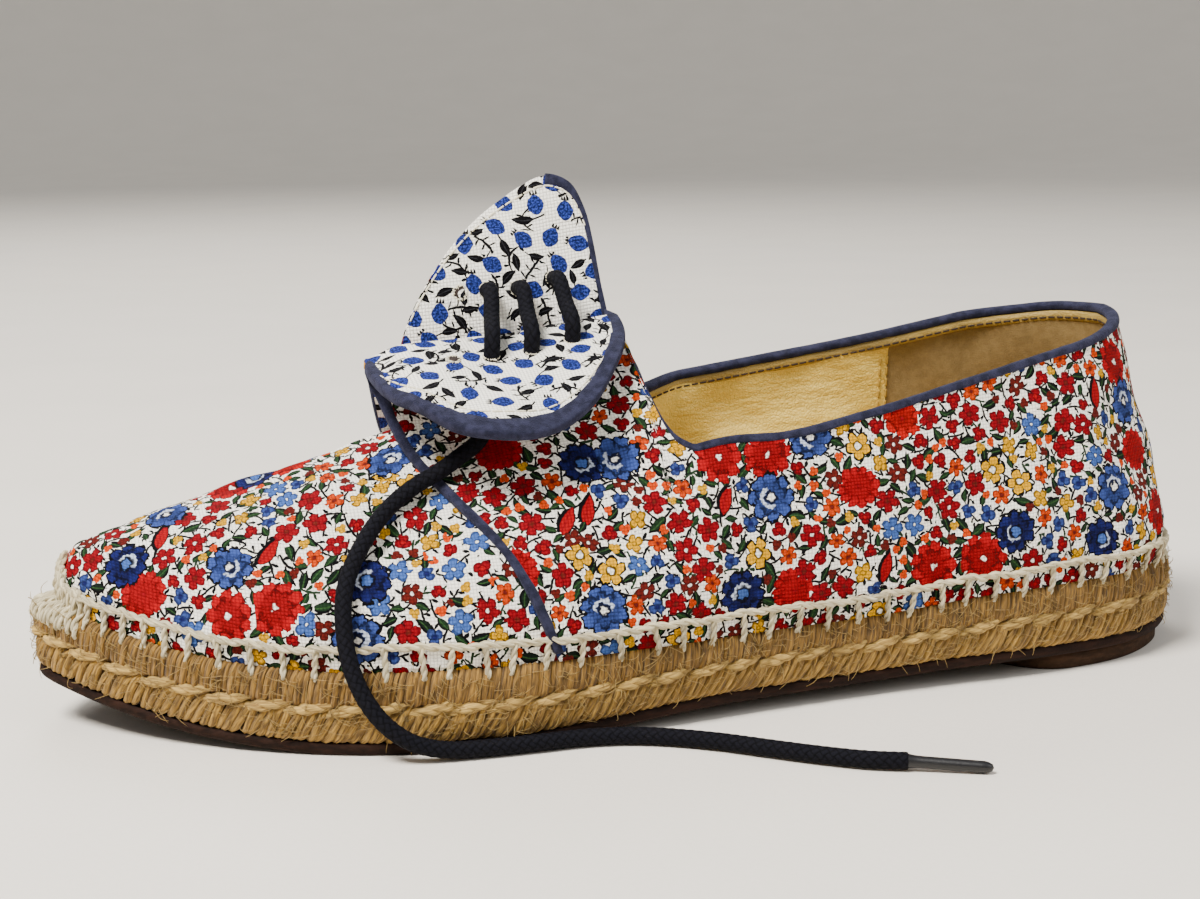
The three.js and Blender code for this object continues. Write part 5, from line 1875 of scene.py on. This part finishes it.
def yarn(parts, points, diameter, pitch, phase):
    path = resample(catmull(points, 6), 0.55)
    twisted(parts, path, diameter, pitch, rng.uniform(0, 1), phase)


LEG_LEVELS = ((-0.2, 0.8), (-0.7, 0.7), (-1.2, 1.2), (-1.6, 2.6))


def make_legs(parts, tree):
    """The blanket stitch's legs, and the loops at their tops."""
    loops = []
    for at in stitch_places():
        place, away, forward = rim_at(np.array([at]), FEATHER)
        top = jute_top(place[0, 0])
        lift = PURL_HEIGHT + rng.uniform(-0.5, 0.5)
        lean = rng.normal(0, 0.5)
        points = []
        for up in (lift, lift * 0.66, lift * 0.33, 0.6):
            found = skin(tree, place[0], away[0], top + GAP + up)
            if found is not None:
                drift = np.array([*forward[0], 0]) * lean * (1 - up / lift)
                points.append(found[0] + found[1] * 0.75 + drift)
        if len(points) > 2:
            points += down_to_sole(at, top, forward[0] * lean, LEG_LEVELS)
            loops.append(points[0])
            yarn(parts, points, 1.4, 4.4, rng.uniform(0, 6))
    return np.array(loops)


def make_purl(parts, tree, loops):
    """The yarn that runs from loop to loop, sinking a little between them."""
    sagging = []
    for a, b in zip(loops, np.roll(loops, -1, 0)):
        middle = (a + b) / 2
        found = skin(tree, middle[:2], plan_out(middle), middle[2] - 0.35)
        if found is not None:
            middle = found[0] + found[1] * 0.8
        sagging += [a, middle]
    path = resample(catmull(sagging, 6, closed=True), 0.6)
    twisted(parts, path, 1.7, 5.4, seed=0.3)


TOE_WHIPS = 19
TOE_WHIP_PITCH = 1.55


def whip_toe(parts, tree):
    """Close turns of yarn that bind the toe tip to the sole."""
    tip = RIM_ALONG[int(np.argmax(RIM[:, 0]))]
    for k in range(TOE_WHIPS):
        at = tip + (k - (TOE_WHIPS - 1) / 2) * TOE_WHIP_PITCH + rng.uniform(-0.3, 0.3)
        place, away, _ = rim_at(np.array([at]), FEATHER)
        top = jute_top(place[0, 0])
        high = rng.uniform(7.0, 9.5) - abs(k - TOE_WHIPS / 2) * 0.35
        points = []
        for up in np.array([1, 0.7, 0.4, 0.12]) * high:
            found = skin(tree, place[0], away[0], top + GAP + up)
            if found is not None:
                points.append(found[0] + found[1] * rng.uniform(0.6, 1.0))
        deep = rng.uniform(3.0, 4.2)
        levels = ((-0.3, 0.6), (-1.4, 0.0), (-deep * 0.7, 0.0), (-deep, 1.8))
        yarn(parts, points + down_to_sole(at, top, 0, levels), 1.6, 6.0, k)


def make_blanket_stitch(tree):
    parts = Parts()
    make_purl(parts, tree, make_legs(parts, tree))
    whip_toe(parts, tree)
    parts.mesh("blanket_stitch", YARN, "stitch_yarn", fibre=True)


def plan_out(point):
    """The plan line's outward direction nearest to a point."""
    k = int(np.hypot(RIM[:, 0] - point[0], RIM[:, 1] - point[1]).argmin())
    return outwards(RIM)[k]


TAPE_SECTION = np.array([
    (0.4, -1.2), (-0.2, -1.2), (-0.32, -2.6), (-0.3, -3.4), (-0.1, -3.8), (0.4, -3.8),
])


def make_edge_tape(shoe):
    """The strip inside the collar, under the binding, and the stitches along it."""
    middle, normal, inner = shoe["middle"], shoe["normal"], shoe["inner"]
    rows = slice(TENT_END - 2, len(middle) - TENT_END + 2)
    up = unit(middle[rows, -1] - middle[rows, -3])
    path, face, up = along_edge(inner[rows, -1], normal[rows, -1], up)
    sweep("edge_tape", path, face, up, TAPE_SECTION, TAPE, "lining_leather")
    parts = Parts()
    capsules(parts, path + face * -0.34 - up * 2.9, -face, 1.5, 2.2, 0.24, 0.12)
    parts.mesh("edge_tape_stitches", BROWN_THREAD, "lining_leather")


def make_heel_seam(shoe):
    """The join of leather and suede inside the heel, stitched down both sides."""
    parts = Parts()
    inner, normal = shoe["inner"], shoe["normal"]
    lateral = np.arange(len(inner)) < shoe["lateral"]
    for own in (lateral, ~lateral):
        for station in (58.4, 60.2):
            gap = np.where(own, np.abs(inner[:, 40, 0] - station), np.inf)
            k = int(gap.argmin())
            column, face = inner[k, 14:-5], -normal[k, 14:-5]
            capsules(parts, column + face * 0.12, face, 1.9, 2.8, 0.26, 0.14)
    parts.mesh("heel_seam_stitches", STRAW_THREAD, "lining_suede")


def make_lapel_stitches(lapels):
    parts = Parts()
    columns = slice(6, -6)
    for name, lapel in lapels.items():
        row = LAPEL_ROWS - (7 if name == "lateral" else 3)
        facing = lapel["facing"][columns, row]
        for grid, face in ((lapel["lining"], facing), (lapel["outer"], -facing)):
            capsules(parts, grid[columns, row] + face * 0.06, face, 2.0, 2.5, 0.2, 0.1)
    parts.mesh("lapel_stitches", CREAM_THREAD, "lapel_lining")


def hole_at(name, row):
    lapel = LAPELS[name]
    s = LACE_ROWS[name + "_s"][row]
    reach = LACE_ROWS[name + "_reach"][row]
    at, facing = lapel_point(lapel, np.array([s]), np.array([reach]))
    return at[0], facing[0]


HOLE_STEPS = 24
HOLE_RADIUS = 1.55
FRAYED_THREADS = 46


def make_holes():
    """Punched lace holes: a dark disc of painted shade in each opening, with a frayed pale edge, on
    both sides of each lapel.
    """
    dark, frayed = Parts(), Parts()
    turn = np.linspace(0, 2 * math.pi, HOLE_STEPS, endpoint=False)
    for name in LAPELS:
        for row in range(len(LACE_ROWS["lateral_s"])):
            at, facing = hole_at(name, row)
            for face in (facing, -facing):
                surface = at + face * (LAPEL_THICKNESS / 2)
                first = unit(np.cross(face, [1.0, 0.2, 0.1]))
                second = np.cross(face, first)
                rough = 1 + 0.08 * np.sin(turn * 3 + row) + 0.05 * rng.normal(size=HOLE_STEPS)
                spokes = first * np.cos(turn)[:, None] + second * np.sin(turn)[:, None]
                disc = surface + spokes * HOLE_RADIUS * rough[:, None]
                # a dark disc where the hole opens: painted shade
                dark.add(*stack([disc - face * 0.4, disc + face * 0.16]))
                for _ in range(FRAYED_THREADS):
                    a = any_turn()
                    spoke = first * math.cos(a) + second * math.sin(a)
                    root = surface + spoke * rng.uniform(1.5, 1.95) + face * 0.05
                    tip = spoke * rng.uniform(-0.75, 0.1) + np.cross(face, spoke) * rng.normal(0, 0.4)
                    path = np.array([root, root + tip * 0.5 + face * 0.22, root + tip + face * 0.16])
                    tube(frayed, catmull(path, 2), 0.1, 4, seed=rng.uniform(0, 1))
    dark.mesh("lace_hole_centres", HOLE_SHADE, "lapel_lining")
    frayed.mesh("lace_hole_fray", CREAM_THREAD, "lapel_lining")


# ------------------------------------------------------------------ laces


LACE_SPACING = 0.32
LACE_SIDES = 20
BRAID_DEPTH = 0.06


def braid(along, around):
    """The relief of a braided sheath's strands."""
    turn, step = around / (2 * np.pi) * BRAID_STRANDS, along / BRAID_PITCH
    crossing = np.abs(np.sin((step + turn) * np.pi)) + np.abs(np.sin((step - turn) * np.pi))
    return BRAID_DEPTH * (crossing - 1.2)


def lace(name, points, node):
    parts = Parts()
    path = resample(catmull(points, 12), LACE_SPACING)
    path = resample(smoothed(path, 4), LACE_SPACING)
    tube(parts, path, LACE / 2 - BRAID_DEPTH, LACE_SIDES, relief=braid)
    return parts.mesh(name, LACE_MATERIAL, "lace", node, fibre=True), path


def quarter_hole(side, s, clearance):
    """A place over a hole of the quarter, clearance away from its cloth."""
    stations = np.array([s, s + 1, s])
    at, ahead, above = quarter_point(stations, side, QUARTER_HOLE + np.array([0, 0, 0.01]))
    out = unit(np.cross(ahead - at, above - at)) * -side
    return at + (out if out[2] >= 0 else -out) * (LAP + clearance)


LACE_SUNK = LAPEL_THICKNESS / 2 - 0.6


def make_bar(row):
    """A bar across the fold, from hole to hole."""
    ends, bends = [], []
    for name in ("medial", "lateral"):
        at, facing = hole_at(name, row)
        ends.append(at + facing * LACE_SUNK)
        bends.append(at + facing * (1 + LACE * 0.92))
    inward = unit(bends[1] - bends[0]) * LACE * 0.4
    bends = [bends[0] + inward, bends[1] - inward]
    sag = (bends[0] + bends[1]) / 2 - [0, 0, 0.5]
    lace(f"lace_bar_{row}_braid", [ends[0], bends[0], sag, bends[1], ends[1]], f"lace_bar_{row}")


def make_strand(name, row):
    """A strand on a lapel's outer side, from its hole down to the quarter's."""
    side, s = LAPELS[name]["side"], LACE_ROWS[name + "_s"][row]
    at, facing = hole_at(name, row)
    points = [
        at - facing * LACE_SUNK, at - facing * (1 + LACE * 0.7),
        quarter_hole(side, s, LACE * 0.7), quarter_hole(side, s, -0.4),
    ]
    lace(f"lace_strand_{name}_{row}_braid", points, f"lace_strand_{name}_{row}")


def make_laces():
    """The laced rows. The lateral strand of the front one is the free end, built by itself."""
    for row in (1, 2, 3):
        make_bar(row)
        make_strand("medial", row)
        if row > 1:
            make_strand("lateral", row)


def make_lace_end():
    """The free end of the lace, seen from the lapel to its tip, and the plain dark tip."""
    piece, path = lace("lace_end_braid", LACE_END, "lace_end")
    before, end = np.array(LACE_END[-2:], float)
    along = unit(end - before)
    tip = end + along * (AGLET_LENGTH + 0.3)
    tip[2] = AGLET / 2 + 0.1
    line = resample(np.array([end - along * 0.5, tip]), 0.8)
    radius = AGLET / 2 + 0.5 * np.exp(-lengths(line) / 0.9)
    radius[-2:] -= (0.15, 0.5)
    parts = Parts()
    tube(parts, line, radius, LACE_SIDES)
    aglet = parts.mesh("lace_aglet_sleeve", TIP_PLASTIC, "aglet", "lace_aglet", fibre=True)


# ------------------------------------------------------------------ floor and light


FLOOR_STEPS = 64
UNDER_SHOE = 160
SWEEP_START = 2200
SWEEP_REACH = 1500


def make_floor():
    """A plain floor that sweeps up far away. Its middle is hidden under the shoe."""
    net = Net("floor")
    at = net.place()
    soft = net.noise(at, 60.0, 3.0)
    fine = net.noise(at, 1.4, 2.0)
    tone = net.tint(srgb(230, 223, 212), soft * 0.08 + fine * 0.05 + 0.93)
    material = net.finish(tone, fine, 0.05, 0.9)
    arc = np.linspace(0, math.pi / 2, 12)
    reach = np.concatenate([[1, 1200], SWEEP_START + SWEEP_REACH * np.sin(arc)])
    rise = np.concatenate([[0, 0], SWEEP_REACH * (1 - np.cos(arc))])
    turn = np.linspace(0, 2 * math.pi, FLOOR_STEPS, endpoint=False)[:, None]
    x, y = reach * np.cos(turn) + UNDER_SHOE, reach * np.sin(turn)
    verts = np.stack([x, y, rise + 0 * turn], -1)
    rows = grid_faces(FLOOR_STEPS, len(reach), wrap_rows=True, flip=True).tolist()
    middle = [k * len(reach) for k in range(FLOOR_STEPS)]
    make_mesh("floor", verts, [*rows, middle], [material])


def area_light(name, at, look, size, power, tone):
    data = bpy.data.lights.new(name, "AREA")
    data.shape = "DISK"
    data.size = size
    data.energy = power
    data.color = tone
    lamp = bpy.data.objects.new(name, data)
    lamp.location = at
    lamp.rotation_euler = (Vector(look) - Vector(at)).to_track_quat("-Z", "Y").to_euler()
    bpy.context.scene.collection.objects.link(lamp)


def make_light():
    area_light("key", (0.75, 0.35, 1.15), (0.1, 0, 0.04), 0.5, 42, (1, 0.97, 0.92))
    area_light("fill", (-0.9, 0.9, 0.9), (0.1, 0, 0.04), 1.2, 10, (0.97, 0.98, 1))
    area_light("back", (0.1, -1.2, 1.1), (0.1, 0, 0.05), 0.9, 14, (1, 0.98, 0.95))
    world = bpy.data.worlds.new("soft_room")
    world.use_nodes = True
    back = world.node_tree.nodes["Background"]
    back.inputs[0].default_value = (0.85, 0.88, 0.92, 1)
    back.inputs[1].default_value = 0.45
    bpy.context.scene.world = world


# ------------------------------------------------------------------ assembly

make_lace_end()
make_floor()
make_light()
make_outsole()
make_heel_lift()
make_jute()
make_insole()
shoe = make_quarters()
make_vamp()
lapels = {name: make_lapel(name) for name in LAPELS}
make_bindings(shoe, lapels)
make_edge_tape(shoe)
make_heel_seam(shoe)
make_lapel_stitches(lapels)
make_holes()
make_laces()
make_blanket_stitch(tree_of(bpy.data.objects["quarters"], bpy.data.objects["vamp"]))

bpy.context.view_layer.update()
